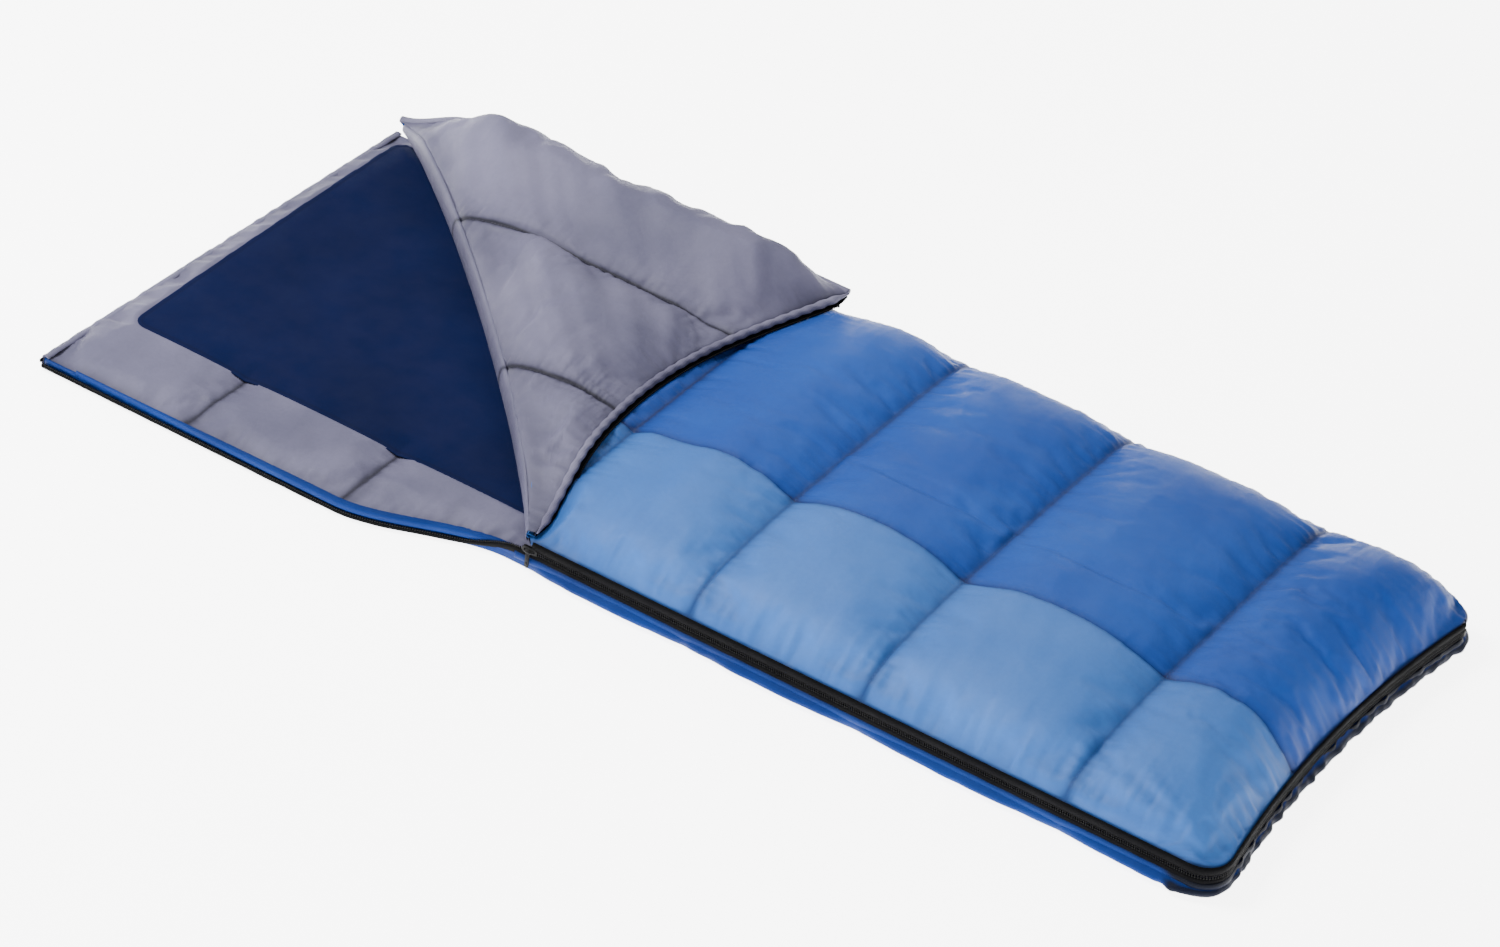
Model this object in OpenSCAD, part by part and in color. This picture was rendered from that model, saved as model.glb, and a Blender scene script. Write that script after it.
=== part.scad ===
// Rectangular quilted sleeping bag, lying flat with one top corner folded back.
// +X runs from the head to the foot, +Y from the zip side to the folded far side, +Z up.
// The origin is the middle of the footprint, on the ground.

/* [Bag] */
// Length from the head hem to the foot corners
bag_length = 1910; // [1700:10:2100]
// Width of the zipped part
bag_width = 762; // [680:2:820]
// How far the unzipped head end spreads past the zipped width
head_flare = 74; // [40:2:90]
// Radius of the two foot corners
corner_radius = 46; // [30:2:60]
// How far the stuffed foot edge is drawn in at its middle
foot_bow = 34; // [0:2:50]

/* [Quilts] */
// Thickness of the lower quilt at its seams
lower_seam_height = 20; // [16:1:24]
// Rise of each chamber of the lower quilt above its seams
lower_puff = 15; // [8:1:16]
// Height of the crowned top at its seams
crown_height = 112; // [104:1:120]
// Rise of each chamber of the upper quilt above its seams
upper_puff = 22; // [10:1:26]
// Thickness of the cloth layers as modelled
cloth = 1.2; // [0.8:0.1:1.4]
// Share of the width that the light zip-side panel takes
light_share = 0.34; // [0.25:0.01:0.45]

/* [Folded corner] */
// Height of the fold line above the ground
fold_height = 104; // [102:1:106]
// Thickness of the folded corner at its hems
flap_hem = 13; // [10:1:16]
// Rise of the folded corner's chambers above its hems
flap_puff = 52; // [30:1:54]

/* [Zip] */
// Width of each zip tape
tape_width = 15; // [12:1:16]
// Place of the slider along the zip, where the top is open to
slider_x = -150; // [-160:1:-140]

/* [Hidden] */

LIGHT_BLUE = [0.44, 0.60, 0.80];
ROYAL_BLUE = [0.18, 0.36, 0.66];
MID_BLUE = [0.10, 0.33, 0.68];
GREY = [0.55, 0.54, 0.60];
NAVY = [0.12, 0.17, 0.32];
BLACK = [0.06, 0.06, 0.07];
WHITE = [0.93, 0.93, 0.91];
METAL = [0.35, 0.35, 0.36];

gap = 0.3;                      // between layers that lie on each other
x_head = -bag_length / 2 - 3;   // head edge at the zip side
x_foot = bag_length / 2;        // foot corners
head_skew = 22;                 // the head edge is this much nearer at the far side
y_far = (bag_width + head_flare) / 2;
y_near = y_far - bag_width;     // edge of the zipped part
flare_start = -190;             // the zip side leaves its straight line here
flare_end = -440;               // and is parallel again here

// Quilting seams, at their places along X; the two ends are the hems.
seams = [x_head, -702, -430, -160, 112, 393, 716, x_foot];
// Places inside a chamber where the surface is sampled, as shares of its length.
steps = [0, 0.1, 0.3, 0.5, 0.7, 0.9];

lining_top = lower_seam_height + lower_puff;
upper_base = 42;                // underside of the upper quilt at its edges
upper_edge = 54;                // top of the upper quilt at its edges
mouth_rise = 22;                // arch of the underside at the fold
room_rise = 40;                 // arch of the underside over the sleeper
under_flap = fold_height - 2;   // highest point of the upper quilt under the folded corner

// Fold line of the turned-back corner, from the zip side to the far side.
fold_near = [-165, y_near + 4];
fold_far = [-930, y_far - 12];
fold_length = norm(fold_far - fold_near);
fold_angle = atan2(fold_far[1] - fold_near[1], fold_far[0] - fold_near[0]);
fold_gap = 7;                   // clearance beside the fold line, measured along X
flap_zip_x = -112;              // the folded corner's zip edge
flap_end = -86;                 // nothing of the folded corner lies beyond this
flap_chambers = 3;

chain_z = 37;                   // middle of the zip, between its two coils
coil_height = 2.2;
coil_gap = 1.2;                 // the slider's post passes between the coils here
coil_depth = [2.0, 4.4];        // how far outside the quilts' edge the coils lie
tape_depth = [2.8, 3.6];
piping = 3;                     // width of bindings and piping past an edge

function smooth(t) = let(c = min(1, max(0, t))) c * c * (3 - 2 * c);
function mix(a, b, t) = a + (b - a) * t;
function near_y(x) = y_near - head_flare * smooth((flare_start - x) / (flare_start - flare_end));
function across(x, y) = (y - near_y(x)) / (y_far - near_y(x));
function corner(d) = d >= corner_radius ? 0
  : corner_radius - sqrt(corner_radius ^ 2 - (corner_radius - d) ^ 2);
function foot_x(v) = x_foot - foot_bow * (1 - (2 * v - 1) ^ 2) - corner(min(v, 1 - v) * bag_width);
function head_x(v) = x_head + head_skew * v;
function fold_x(y) = fold_near[0]
  + (y - fold_near[1]) * (fold_far[0] - fold_near[0]) / (fold_far[1] - fold_near[1]);

// A broad arch across the bag, 0 at both edges and 1 in the middle.
function arch(v) = sqrt(max(0, 1 - abs(2 * v - 1) ^ 3));
// The swell of the chamber that x is in, 0 at its seams and 1 in its middle.
function swell(x) = let(
    i = max([for (k = [0:len(seams) - 2]) x >= seams[k] ? k : 0]),
    w = min(1, max(0, (x - seams[i]) / (seams[i + 1] - seams[i]))))
  max(0, sin(180 * w)) ^ 0.6;
function foot_fall(x, y) = sqrt(smooth((foot_x(across(x, y)) - x) / 110));

function lower_top(p) = lower_seam_height
  + lower_puff * swell(p[0]) * max(0, sin(180 * min(1, max(0, across(p[0], p[1]))))) ^ 0.35;
// 0 beneath the folded corner, where the quilt is pressed flat, and 1 beyond it.
function free(x) = smooth((x - flap_end) / 120);
function upper_low(p) = upper_base
  + mix(mouth_rise, room_rise * foot_fall(p[0], p[1]), free(p[0])) * arch(across(p[0], p[1]));
function upper_top(p) = let(v = across(p[0], p[1]), k = free(p[0]), f = foot_fall(p[0], p[1]))
  upper_edge + arch(v) * mix(under_flap - upper_edge,
    (crown_height - upper_edge) * f + upper_puff * swell(p[0]) * min(1, f * 1.4), k);

// The folded corner: its edges lie flat, and its chambers run along X.
function flap_low(p) = fold_height + 0.5;
function flap_top(p) = let(
    d = (y_far - 12 - p[1]) / ((y_far - y_near - 16) / flap_chambers),
    side = smooth((flap_zip_x - p[0]) / 120), fold = smooth((p[0] - fold_x(p[1])) / 120),
    near = smooth((p[1] - fold_near[1]) / 60))
  flap_low(p) + flap_hem
    + flap_puff * (0.35 + 0.65 * abs(sin(180 * d)) ^ 0.6) * sqrt(side * fold) * near
      * min(1, sqrt(max(0, d) * 6));

// Rows of plan points from the zip side to the far side, inset by e from the outline.
rows = [for (k = [0:14]) (1 - cos(180 * k / 14)) / 2];
inner_x = [for (k = [1:len(seams) - 2]) for (s = steps) mix(seams[k], seams[k + 1], s)];
function lower_row(v, e) = let(
    a = head_x(v) + e, b = foot_x(v) - e,
    xs = concat([for (s = steps) mix(a, seams[1], s)],
      [for (x = inner_x) if (x < seams[6]) x],
      [for (s = steps) mix(seams[6], b, s)], [b]))
  [for (x = xs) [x, mix(near_y(x) + e, y_far - e, v)]];
function upper_row(v, e) = let(
    y = mix(y_near + e, y_far - e, v), b = foot_x(v) - e,
    a = fold_x(y) + fold_gap,
    first = seams[3] + 16,
    xs = concat([for (s = [0:0.2:0.8]) mix(a, first, s)], [first],
      [for (s = steps) if (s > 0.05) mix(seams[3], seams[4], s)],
      [for (x = inner_x) if (x >= seams[4] && x < seams[6]) x],
      [for (s = steps) mix(seams[6], b, s)], [b]))
  [for (x = xs) [x, y]];
// Rows of the folded corner, each from x_from(y) to x_to(y).
function flap_row(y, x_from, x_to, n) =
  [for (k = [0:n]) [mix(max(x_from, fold_x(y) + fold_gap), x_to, k / n), y]];
flap_y = [for (k = [0:15]) mix(fold_near[1] + 16, y_far - 12, k / 15)];

light_x = flap_zip_x - light_share * bag_width;   // colour seam on the folded corner

// A closed solid over a grid of plan points, between two height functions.
module padded(grid, low, high) {
  n = len(grid);
  m = len(grid[0]);
  bottom = [for (row = grid) for (p = row) [p[0], p[1], low(p)]];
  top = [for (row = grid) for (p = row) [p[0], p[1], high(p)]];
  t = n * m;
  skin = [for (i = [0:n - 2]) for (j = [0:m - 2]) let(a = i * m + j, b = a + m)
    each [[t + a, t + a + 1, t + b + 1], [t + a, t + b + 1, t + b],
      [a, b + 1, a + 1], [a, b, b + 1]]];
  rim = concat([for (j = [0:m - 1]) j], [for (i = [1:n - 1]) i * m + m - 1],
    [for (j = [m - 2:-1:0]) (n - 1) * m + j], [for (i = [n - 2:-1:1]) i * m]);
  wall = [for (k = [0:len(rim) - 1]) let(a = rim[k], b = rim[(k + 1) % len(rim)])
    each [[a, b, t + b], [a, t + b, t + a]]];
  polyhedron(concat(bottom, top), [for (f = concat(skin, wall)) [f[2], f[1], f[0]]], convexity = 8);
}

// The bag's outline as one path: zip side, foot, far side and head.
side_x = [for (x = inner_x) if (x > flare_end - 20 && x < seams[3]) x];
zip_side = [for (x = concat([head_x(0)], side_x, [foot_x(0)])) [x, near_y(x)]];
foot_edge = [for (k = [1:13]) let(v = rows[k]) [foot_x(v), mix(y_near, y_far, v)]];
far_corners = [[foot_x(1), y_far], [head_x(1), y_far]];
outline = concat(zip_side, foot_edge, far_corners);

function unit(v) = v / norm(v);
function outward(path, i, closed) = let(
    n = len(path),
    a = closed ? path[(i + n - 1) % n] : path[max(0, i - 1)],
    b = closed ? path[(i + 1) % n] : path[min(n - 1, i + 1)],
    d1 = closed || i > 0 ? unit(path[i] - a) : unit(b - path[i]),
    d2 = closed || i < n - 1 ? unit(b - path[i]) : d1,
    m = unit(d1 + d2))
  [m[1], -m[0]] / max(0.6, m * d1);
function offset_path(path, d, closed = false) =
  [for (i = [0:len(path) - 1]) path[i] + d * outward(path, i, closed)];
function reversed(p) = [for (i = [len(p) - 1:-1:0]) p[i]];

// An upright band that follows a path, between two distances outside it.
module band(path, depth, z0, z1) {
  translate([0, 0, z0]) linear_extrude(z1 - z0)
    polygon(concat(offset_path(path, depth[0]), reversed(offset_path(path, depth[1]))));
}

zip_path = concat(zip_side, [for (k = [0:11]) foot_edge[k]]);
closed_zip_path = concat([[slider_x + 2, y_near], [foot_x(0), y_near]], [for (k = [0:11]) foot_edge[k]]);
zip_end = foot_edge[11];

// Lower quilt

module lower_shell() {
  color(MID_BLUE) difference() {
    linear_extrude(lower_seam_height) polygon(outline);
    translate([0, 0, cloth]) linear_extrude(lower_seam_height)
      polygon(offset_path(outline, -cloth, true));
  }
}

module lower_batting() {
  color(WHITE) padded([for (v = rows) lower_row(v, cloth + 1)],
    function(p) cloth + gap, function(p) lower_top(p) - cloth - gap);
}

module lower_lining() {
  color(GREY) padded([for (v = rows) lower_row(v, cloth + 0.6)],
    function(p) lower_top(p) - cloth, function(p) lower_top(p));
}

panel_x = [-912, -112];
panel_y = [y_near + 66, y_far - 24];

module lining_panel() {
  xs = concat([panel_x[0]], [for (x = concat([for (s = steps) mix(x_head, seams[1], s)], inner_x))
    if (x > panel_x[0] + 5 && x < panel_x[1] - 5) x], [panel_x[1]]);
  color(NAVY) padded([for (k = [0:8]) [for (x = xs) [x, mix(panel_y[0], panel_y[1], k / 8)]]],
    function(p) lower_top(p) + gap + 0.5, function(p) lower_top(p) + gap + 0.5 + cloth);
}

module lower_head_binding() {
  a = [head_x(0), near_y(x_head)];
  b = [head_x(1), y_far];
  color(GREY) band([b, a], [0.3, piping], 1, lower_seam_height + 2);
}

module lower_zip_guard() {
  color(MID_BLUE) band(zip_path, [0.2, 0.9 - gap], chain_z - tape_width - 1, chain_z - 6);
}

module lower_zip_tape() {
  color(BLACK) band(zip_path, tape_depth,
    chain_z - coil_gap / 2 - coil_height - tape_width, chain_z - coil_gap / 2 - coil_height);
}

module lower_zip_coil() {
  color(BLACK) band(zip_path, coil_depth, chain_z - coil_gap / 2 - coil_height, chain_z - coil_gap / 2);
}

module lower_zip_stop() {
  color(METAL) translate([x_head - 2.9, near_y(x_head) - 5.2, chain_z - 3.4]) cube([2.6, 5, 5]);
}

module zip_box() {
  color(METAL) translate([zip_end[0] - 1.5, zip_end[1] + 1, chain_z - 12]) cube([6, 9, 11]);
}

// The cloth that joins the two quilts along their far side
module far_side_wall() {
  x0 = fold_far[0] + 60;
  color(ROYAL_BLUE) translate([x0, y_far + 0.2, lower_seam_height - 4])
    cube([foot_x(1) - 6 - x0, 1, upper_edge - lower_seam_height + 4]);
}

// Upper quilt

light_rows = concat([for (v = rows) if (v < light_share - 0.03) v], [light_share]);
dark_rows = concat([light_share], [for (v = rows) if (v > light_share + 0.03) v]);
upper_rows = concat(light_rows, [for (v = dark_rows) if (v > light_share) v]);
upper_inset = 0.6;

module upper_shell(vs) {
  padded([for (v = vs) upper_row(v, upper_inset)],
    function(p) upper_top(p) - cloth, function(p) upper_top(p));
}

module upper_shell_light() {
  color(LIGHT_BLUE) upper_shell([for (v = light_rows) min(v, light_share - 0.0003)]);
}

module upper_shell_dark() {
  color(ROYAL_BLUE) upper_shell([for (v = dark_rows) max(v, light_share + 0.0003)]);
}

module upper_batting() {
  color(WHITE) padded([for (v = upper_rows) upper_row(v, upper_inset)],
    function(p) upper_low(p) + cloth + gap, function(p) upper_top(p) - cloth - gap);
}

module upper_lining() {
  color(GREY) padded([for (v = upper_rows) upper_row(v, upper_inset)],
    function(p) upper_low(p), function(p) upper_low(p) + cloth);
}

module upper_zip_tape() {
  color(BLACK) band(closed_zip_path, tape_depth,
    chain_z + coil_gap / 2 + coil_height, chain_z + coil_gap / 2 + coil_height + tape_width);
}

module upper_zip_coil() {
  color(BLACK) band(closed_zip_path, coil_depth,
    chain_z + coil_gap / 2, chain_z + coil_gap / 2 + coil_height);
}

module zip_pin() {
  color(METAL) translate([zip_end[0] + 1.5, zip_end[1] + 4, chain_z + 0.8])
    cylinder(r = 1.2, h = 16, $fn = 32);
}

crease_radius = 38;

module fold_crease() {
  color(GREY) translate([fold_near[0], fold_near[1], fold_height]) rotate([0, 0, fold_angle])
    translate([14, 0, 0]) rotate([90, 0, 90]) linear_extrude(fold_length - 42)
      intersection() {
        difference() {
          circle(crease_radius, $fn = 64);
          circle(crease_radius - cloth, $fn = 64);
        }
        translate([1, -crease_radius - 1]) square([crease_radius + 1, 2 * crease_radius + 2]);
      }
}

// Folded corner

function dark_rows_y() = [for (y = flap_y) if (fold_x(y) + fold_gap < light_x - 25) y];

module flap_shell_light() {
  color(LIGHT_BLUE) padded([for (y = flap_y) flap_row(y, light_x, flap_zip_x, 5)],
    function(p) flap_low(p), function(p) flap_low(p) + cloth);
}

module flap_shell_dark() {
  color(ROYAL_BLUE) padded([for (y = dark_rows_y()) flap_row(y, x_head, light_x - 0.3, 7)],
    function(p) flap_low(p), function(p) flap_low(p) + cloth);
}

module flap_batting() {
  color(WHITE) padded([for (y = flap_y) flap_row(y, x_head, flap_zip_x, 12)],
    function(p) flap_low(p) + cloth + gap, function(p) flap_top(p) - cloth - gap);
}

module flap_lining() {
  color(GREY) padded([for (y = flap_y) flap_row(y, x_head, flap_zip_x, 12)],
    function(p) flap_top(p) - cloth, function(p) flap_top(p));
}

flap_base = fold_height + 0.5;

module flap_head_binding() {
  x0 = fold_far[0] + 22;
  color(GREY) translate([x0, y_far - 12 + gap, flap_base])
    cube([flap_zip_x - x0, piping, flap_hem]);
}

module flap_side_piping() {
  color(GREY) translate([flap_zip_x + gap, flap_y[0], flap_base])
    cube([piping, y_far - 12 - flap_y[0], flap_hem]);
}

flap_tape_x = flap_zip_x + gap + piping + gap;

module flap_zip_tape() {
  color(BLACK) translate([flap_tape_x, flap_y[0], flap_base + 1])
    cube([tape_width, y_far - 12 - flap_y[0], 0.8]);
}

module flap_zip_coil() {
  color(BLACK) translate([flap_tape_x + tape_width, flap_y[0], flap_base + 0.2])
    cube([coil_height, y_far - 12 - flap_y[0], coil_depth[1] - coil_depth[0]]);
}

module flap_zip_stop() {
  color(METAL) translate([flap_tape_x + tape_width - 1.5, y_far - 12 + gap, flap_base])
    cube([5, 4, 3]);
}

// Slider, its bridge bar and its pull

plate = [26, 1, 11];
back_y = y_near - coil_depth[0] + 0.4;
front_y = y_near - coil_depth[1] - 0.5;
bar_radius = 1.1;
bar_y = front_y - plate[1] - 3.6;
bar_length = 16;
pull_width = 6;
pull_length = 27;
pull_bore = 1.5;

module slider_body() {
  z0 = chain_z - plate[2] / 2;
  color(METAL) union() {
    translate([slider_x - plate[0] / 2, back_y, z0]) cube(plate);
    translate([slider_x - plate[0] / 2, front_y - plate[1], z0]) cube(plate);
    translate([slider_x - 12, front_y - plate[1] / 2, chain_z - (coil_gap - 0.4) / 2])
      cube([10, back_y - front_y + plate[1], coil_gap - 0.4]);
    for (side = [-1, 1])
      translate([slider_x + side * (bar_length / 2 - 1) - 1, bar_y - bar_radius, chain_z - bar_radius])
        cube([2, front_y - bar_y + bar_radius - 0.2, 2 * bar_radius]);
    translate([slider_x - bar_length / 2, bar_y, chain_z]) rotate([0, 90, 0])
      cylinder(r = bar_radius, h = bar_length, $fn = 32);
  }
}

module slider_pull() {
  color(BLACK) translate([slider_x, bar_y, chain_z]) difference() {
    union() {
      rotate([0, 90, 0]) cylinder(r = 3, h = pull_width, center = true, $fn = 32);
      translate([-pull_width / 2, -0.8, -pull_length]) cube([pull_width, 1.6, pull_length - 2]);
    }
    rotate([0, 90, 0]) cylinder(r = pull_bore, h = pull_width + 2, center = true, $fn = 32);
  }
}

lower_shell();
lower_batting();
lower_lining();
lining_panel();
lower_head_binding();
lower_zip_guard();
lower_zip_tape();
lower_zip_coil();
lower_zip_stop();
zip_box();
far_side_wall();
upper_shell_light();
upper_shell_dark();
upper_batting();
upper_lining();
upper_zip_tape();
upper_zip_coil();
zip_pin();
fold_crease();
flap_shell_light();
flap_shell_dark();
flap_batting();
flap_lining();
flap_head_binding();
flap_side_piping();
flap_zip_tape();
flap_zip_coil();
flap_zip_stop();
slider_body();
slider_pull();
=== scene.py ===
"""A rectangular quilted sleeping bag, one head corner of its top quilt folded back."""
import math

import bmesh
import bpy
import numpy as np
from mathutils import Matrix, Vector, noise
from mathutils.bvhtree import BVHTree


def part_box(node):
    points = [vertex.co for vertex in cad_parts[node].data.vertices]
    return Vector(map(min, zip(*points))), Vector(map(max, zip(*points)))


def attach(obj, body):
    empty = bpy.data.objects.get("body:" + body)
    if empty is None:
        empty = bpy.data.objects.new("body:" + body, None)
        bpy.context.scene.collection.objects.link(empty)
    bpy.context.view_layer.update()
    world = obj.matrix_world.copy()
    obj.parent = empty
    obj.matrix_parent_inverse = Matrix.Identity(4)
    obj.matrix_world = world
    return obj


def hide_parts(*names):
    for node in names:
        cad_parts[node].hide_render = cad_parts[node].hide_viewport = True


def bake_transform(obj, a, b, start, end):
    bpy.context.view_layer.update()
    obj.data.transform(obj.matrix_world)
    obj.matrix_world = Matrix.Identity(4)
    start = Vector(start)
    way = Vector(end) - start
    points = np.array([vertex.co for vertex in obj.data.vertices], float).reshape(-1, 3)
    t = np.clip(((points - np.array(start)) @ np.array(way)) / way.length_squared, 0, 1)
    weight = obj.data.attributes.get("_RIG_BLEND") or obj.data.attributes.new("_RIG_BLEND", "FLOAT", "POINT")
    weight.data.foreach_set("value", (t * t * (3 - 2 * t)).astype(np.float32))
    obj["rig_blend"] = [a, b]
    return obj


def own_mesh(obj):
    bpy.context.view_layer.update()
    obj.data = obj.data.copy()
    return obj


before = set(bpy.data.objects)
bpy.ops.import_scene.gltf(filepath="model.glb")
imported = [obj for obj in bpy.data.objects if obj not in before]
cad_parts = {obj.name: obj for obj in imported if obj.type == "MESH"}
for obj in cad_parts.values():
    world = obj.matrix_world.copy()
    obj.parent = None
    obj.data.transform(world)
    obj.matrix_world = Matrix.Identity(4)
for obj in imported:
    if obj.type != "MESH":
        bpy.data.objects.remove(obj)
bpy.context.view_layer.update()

# ---- Sizes, in metres: X head to foot, Y zip side to far side, Z up

SEAMS = [-0.958, -0.702, -0.430, -0.160, 0.112, 0.393, 0.716, 0.955]
Y_NEAR, Y_FAR = -0.344, 0.418
WIDTH = Y_FAR - Y_NEAR
HEAD_FLARE, HEAD_SKEW = 0.074, 0.022
FLARE_START, FLARE_END = -0.190, -0.440
FOOT_BOW, CORNER = 0.034, 0.046
LIGHT_SHARE = 0.34
LIGHT_Y = Y_NEAR + WIDTH * LIGHT_SHARE
FOLD_NEAR = np.array([-0.165, -0.340])
FOLD_FAR = np.array([-0.930, 0.406])
FOLD_DIR = (FOLD_FAR - FOLD_NEAR) / np.linalg.norm(FOLD_FAR - FOLD_NEAR)
FOLD_OUT = np.array([-FOLD_DIR[1], FOLD_DIR[0]])
FOLD_SLANT = 0.698  # distance square to the fold per distance along X
FOLD_Z, GUSSET_Z = 0.104, 0.078
LINING_CREST, UPPER_CREST, FLAP_CREST = 0.036, 0.142, 0.1830
CHAIN_Z, COIL_OUT = 0.037, 0.0038
HEM_STEP = 0.0024
FAN_AT = (0.915, -0.318)  # the foot corner that the long wrinkles fan out from
FLAP_SEAMS = [-0.340, -0.078, 0.190, 0.406]
PANEL_X = (-0.912, -0.112)
PANEL_Y = (Y_NEAR + 0.066, Y_FAR - 0.024)
PANEL_ROUND = 0.026
PANEL_MID = (sum(PANEL_X) / 2, sum(PANEL_Y) / 2)
PANEL_STRAIGHT = tuple((b - a) / 2 - PANEL_ROUND for a, b in (PANEL_X, PANEL_Y))
CLOTH_FRAMES = 16
CLOTH = {"quality": 5, "mass": 0.12, "air_damping": 2.0, "tension_stiffness": 12, "compression_stiffness": 12,
         "shear_stiffness": 4, "bending_stiffness": 0.05, "vertex_group_mass": "pin", "use_pressure": True}
MATS = {}


def smooth(t):
    t = np.clip(t, 0.0, 1.0)
    return t * t * (3 - 2 * t)


def mix(a, b, t):
    return a + (b - a) * t


def near_y(x):
    return Y_NEAR - HEAD_FLARE * smooth((FLARE_START - x) / (FLARE_START - FLARE_END))


def across(y):
    """Share of the closed width at y: 0 at the zip side, 1 at the far side."""
    return np.clip((y - Y_NEAR) / WIDTH, 0, 1)


def foot_x(v):
    d = np.minimum(v, 1 - v) * WIDTH
    within = CORNER - np.minimum(d, CORNER)
    c = np.where(d >= CORNER, 0, CORNER - np.sqrt(np.maximum(0, CORNER**2 - within ** 2)))
    return SEAMS[-1] - FOOT_BOW * (1 - (2 * v - 1) ** 2) - c


def head_x(v):
    return SEAMS[0] + HEAD_SKEW * v


def fold_x(y):
    return FOLD_NEAR[0] + (y - FOLD_NEAR[1]) * (FOLD_FAR[0] - FOLD_NEAR[0]) / (FOLD_FAR[1] - FOLD_NEAR[1])


def fold_y(t):
    return mix(FOLD_NEAR[1], FOLD_FAR[1], t)


def swell(x):
    """0 at the cross seams and 1 in the middle of each chamber."""
    x, s = np.asarray(x, float), np.asarray(SEAMS)
    i = np.clip(np.searchsorted(SEAMS, x, side="right") - 1, 0, len(SEAMS) - 2)
    w = np.clip((x - s[i]) / (s[i + 1] - s[i]), 0, 1)
    return np.sin(np.pi * w) ** 0.6


def arch(v):
    """Crown across the bag: it pinches in at the zip and is fuller at the folded far side."""
    e = np.where(v < 0.5, 3.0, 6.0)
    return np.sqrt(np.maximum(0, 1 - np.abs(2 * v - 1) ** e))


# ---- Mesh helpers


def link(name, data):
    obj = bpy.data.objects.new(name, data)
    bpy.context.scene.collection.objects.link(obj)
    return obj


def new_object(name, verts, faces):
    mesh = bpy.data.meshes.new(name)
    mesh.from_pydata([tuple(map(float, p)) for p in verts], [], [tuple(map(int, f)) for f in faces])
    mesh.update()
    return link(name, mesh)


def vectors(mesh, field="co"):
    out = np.empty(len(mesh.vertices) * 3)
    mesh.vertices.foreach_get(field, out)
    return out.reshape(-1, 3)


def set_coords(obj, co):
    obj.data.vertices.foreach_set("co", np.asarray(co, float).ravel())
    obj.data.update()


def shade_smooth(obj):
    obj.data.polygons.foreach_set("use_smooth", [True] * len(obj.data.polygons))


def apply_modifiers(obj):
    dg = bpy.context.evaluated_depsgraph_get()
    mesh = bpy.data.meshes.new_from_object(obj.evaluated_get(dg), depsgraph=dg)
    obj.modifiers.clear()
    obj.data = mesh


def subdivide(obj):
    mod = obj.modifiers.new("subdivide", "SUBSURF")
    mod.levels = mod.render_levels = 1
    mod.boundary_smooth = "PRESERVE_CORNERS"
    apply_modifiers(obj)


def grid_faces(n, m, offset=0, flip=False):
    faces = []
    for i in range(n - 1):
        for j in range(m - 1):
            a = offset + i * m + j
            quad = (a, a + m, a + m + 1, a + 1)
            faces.append(quad[::-1] if flip else quad)
    return faces


def from_bmesh(name, bm):
    mesh = bpy.data.meshes.new(name)
    bm.to_mesh(mesh)
    bm.free()
    obj = link(name, mesh)
    shade_smooth(obj)
    return obj


def set_parts(obj, part):
    obj.data.attributes.new("part", "INT", "FACE").data.foreach_set("value", [int(p) for p in part])


def split_parts(obj, **wanted):
    """Splits a cloth into new objects, each with the faces whose attribute "part" is in its set."""
    made = []
    for name, parts in wanted.items():
        bm = bmesh.new()
        bm.from_mesh(obj.data)
        layer = bm.faces.layers.int["part"]
        bmesh.ops.delete(bm, geom=[f for f in bm.faces if f[layer] not in parts], context="FACES")
        made.append(from_bmesh(name, bm))
    bpy.data.objects.remove(obj)
    return made


def inflate(obj, pinned, pressure, excess, cap):
    """Blows a stitched cloth up with Cloth: pinned points hold, and no point moves more than cap."""
    group = obj.vertex_groups.new(name="pin")
    group.add([int(i) for i in np.nonzero(pinned)[0]], 1.0, "REPLACE")
    rest = vectors(obj.data)
    mod = obj.modifiers.new("cloth", "CLOTH")
    for key, value in CLOTH.items():
        setattr(mod.settings, key, value)
    mod.settings.uniform_pressure_force = pressure
    mod.settings.shrink_min = -excess
    mod.settings.effector_weights.gravity = 0
    mod.collision_settings.use_collision = False
    mod.collision_settings.use_self_collision = False
    mod.point_cache.frame_start = 1
    mod.point_cache.frame_end = CLOTH_FRAMES
    scene = bpy.context.scene
    for f in range(1, CLOTH_FRAMES + 1):
        scene.frame_set(f)
    blown = obj.evaluated_get(bpy.context.evaluated_depsgraph_get())
    move = vectors(blown.to_mesh()) - rest
    blown.to_mesh_clear()
    obj.modifiers.clear()
    obj.vertex_groups.clear()
    length = np.linalg.norm(move, axis=1, keepdims=True)
    soft = cap * np.tanh(length / cap)
    set_coords(obj, rest + move * soft / np.maximum(length, 1e-9))
    scene.frame_set(1)


def wave(x, y, z):
    return noise.noise(Vector((x, y, z)))


def ridges(a, b, seed, fine, long=0.09):
    """Cloth gathers: noise that is fine along a seam and drawn out away from it."""
    return np.array([wave(p / fine, q / long, seed) + 0.5 * wave(p / fine * 2.1, q / long * 1.4, seed + 7.0)
                     for p, q in zip(a, b)])


def seam_gathers(along, away, seed, fine):
    """Gathers on both sides of a seam, and none on the seam itself."""
    return ridges(along, away, seed, fine) * np.exp(-away / 0.030) * (1 - np.exp(-away / 0.004))


def edge_gathers(along, away, seed, fine, reach, hold):
    """Gathers that fade over reach from an edge; the edge's own strip, hold wide, stays calm."""
    return ridges(along, away, seed, fine) * np.exp(-away / reach) * np.minimum(1, away / hold)


def seam_distance(x):
    return np.min(np.abs(x[:, None] - np.asarray(SEAMS[1:-1])[None, :]), axis=1)


def attribute(obj, name, values):
    layer = obj.data.attributes.get(name) or obj.data.attributes.new(name, "FLOAT", "POINT")
    layer.data.foreach_set("value", np.asarray(values, np.float32))


# ---- Quilts


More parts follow.
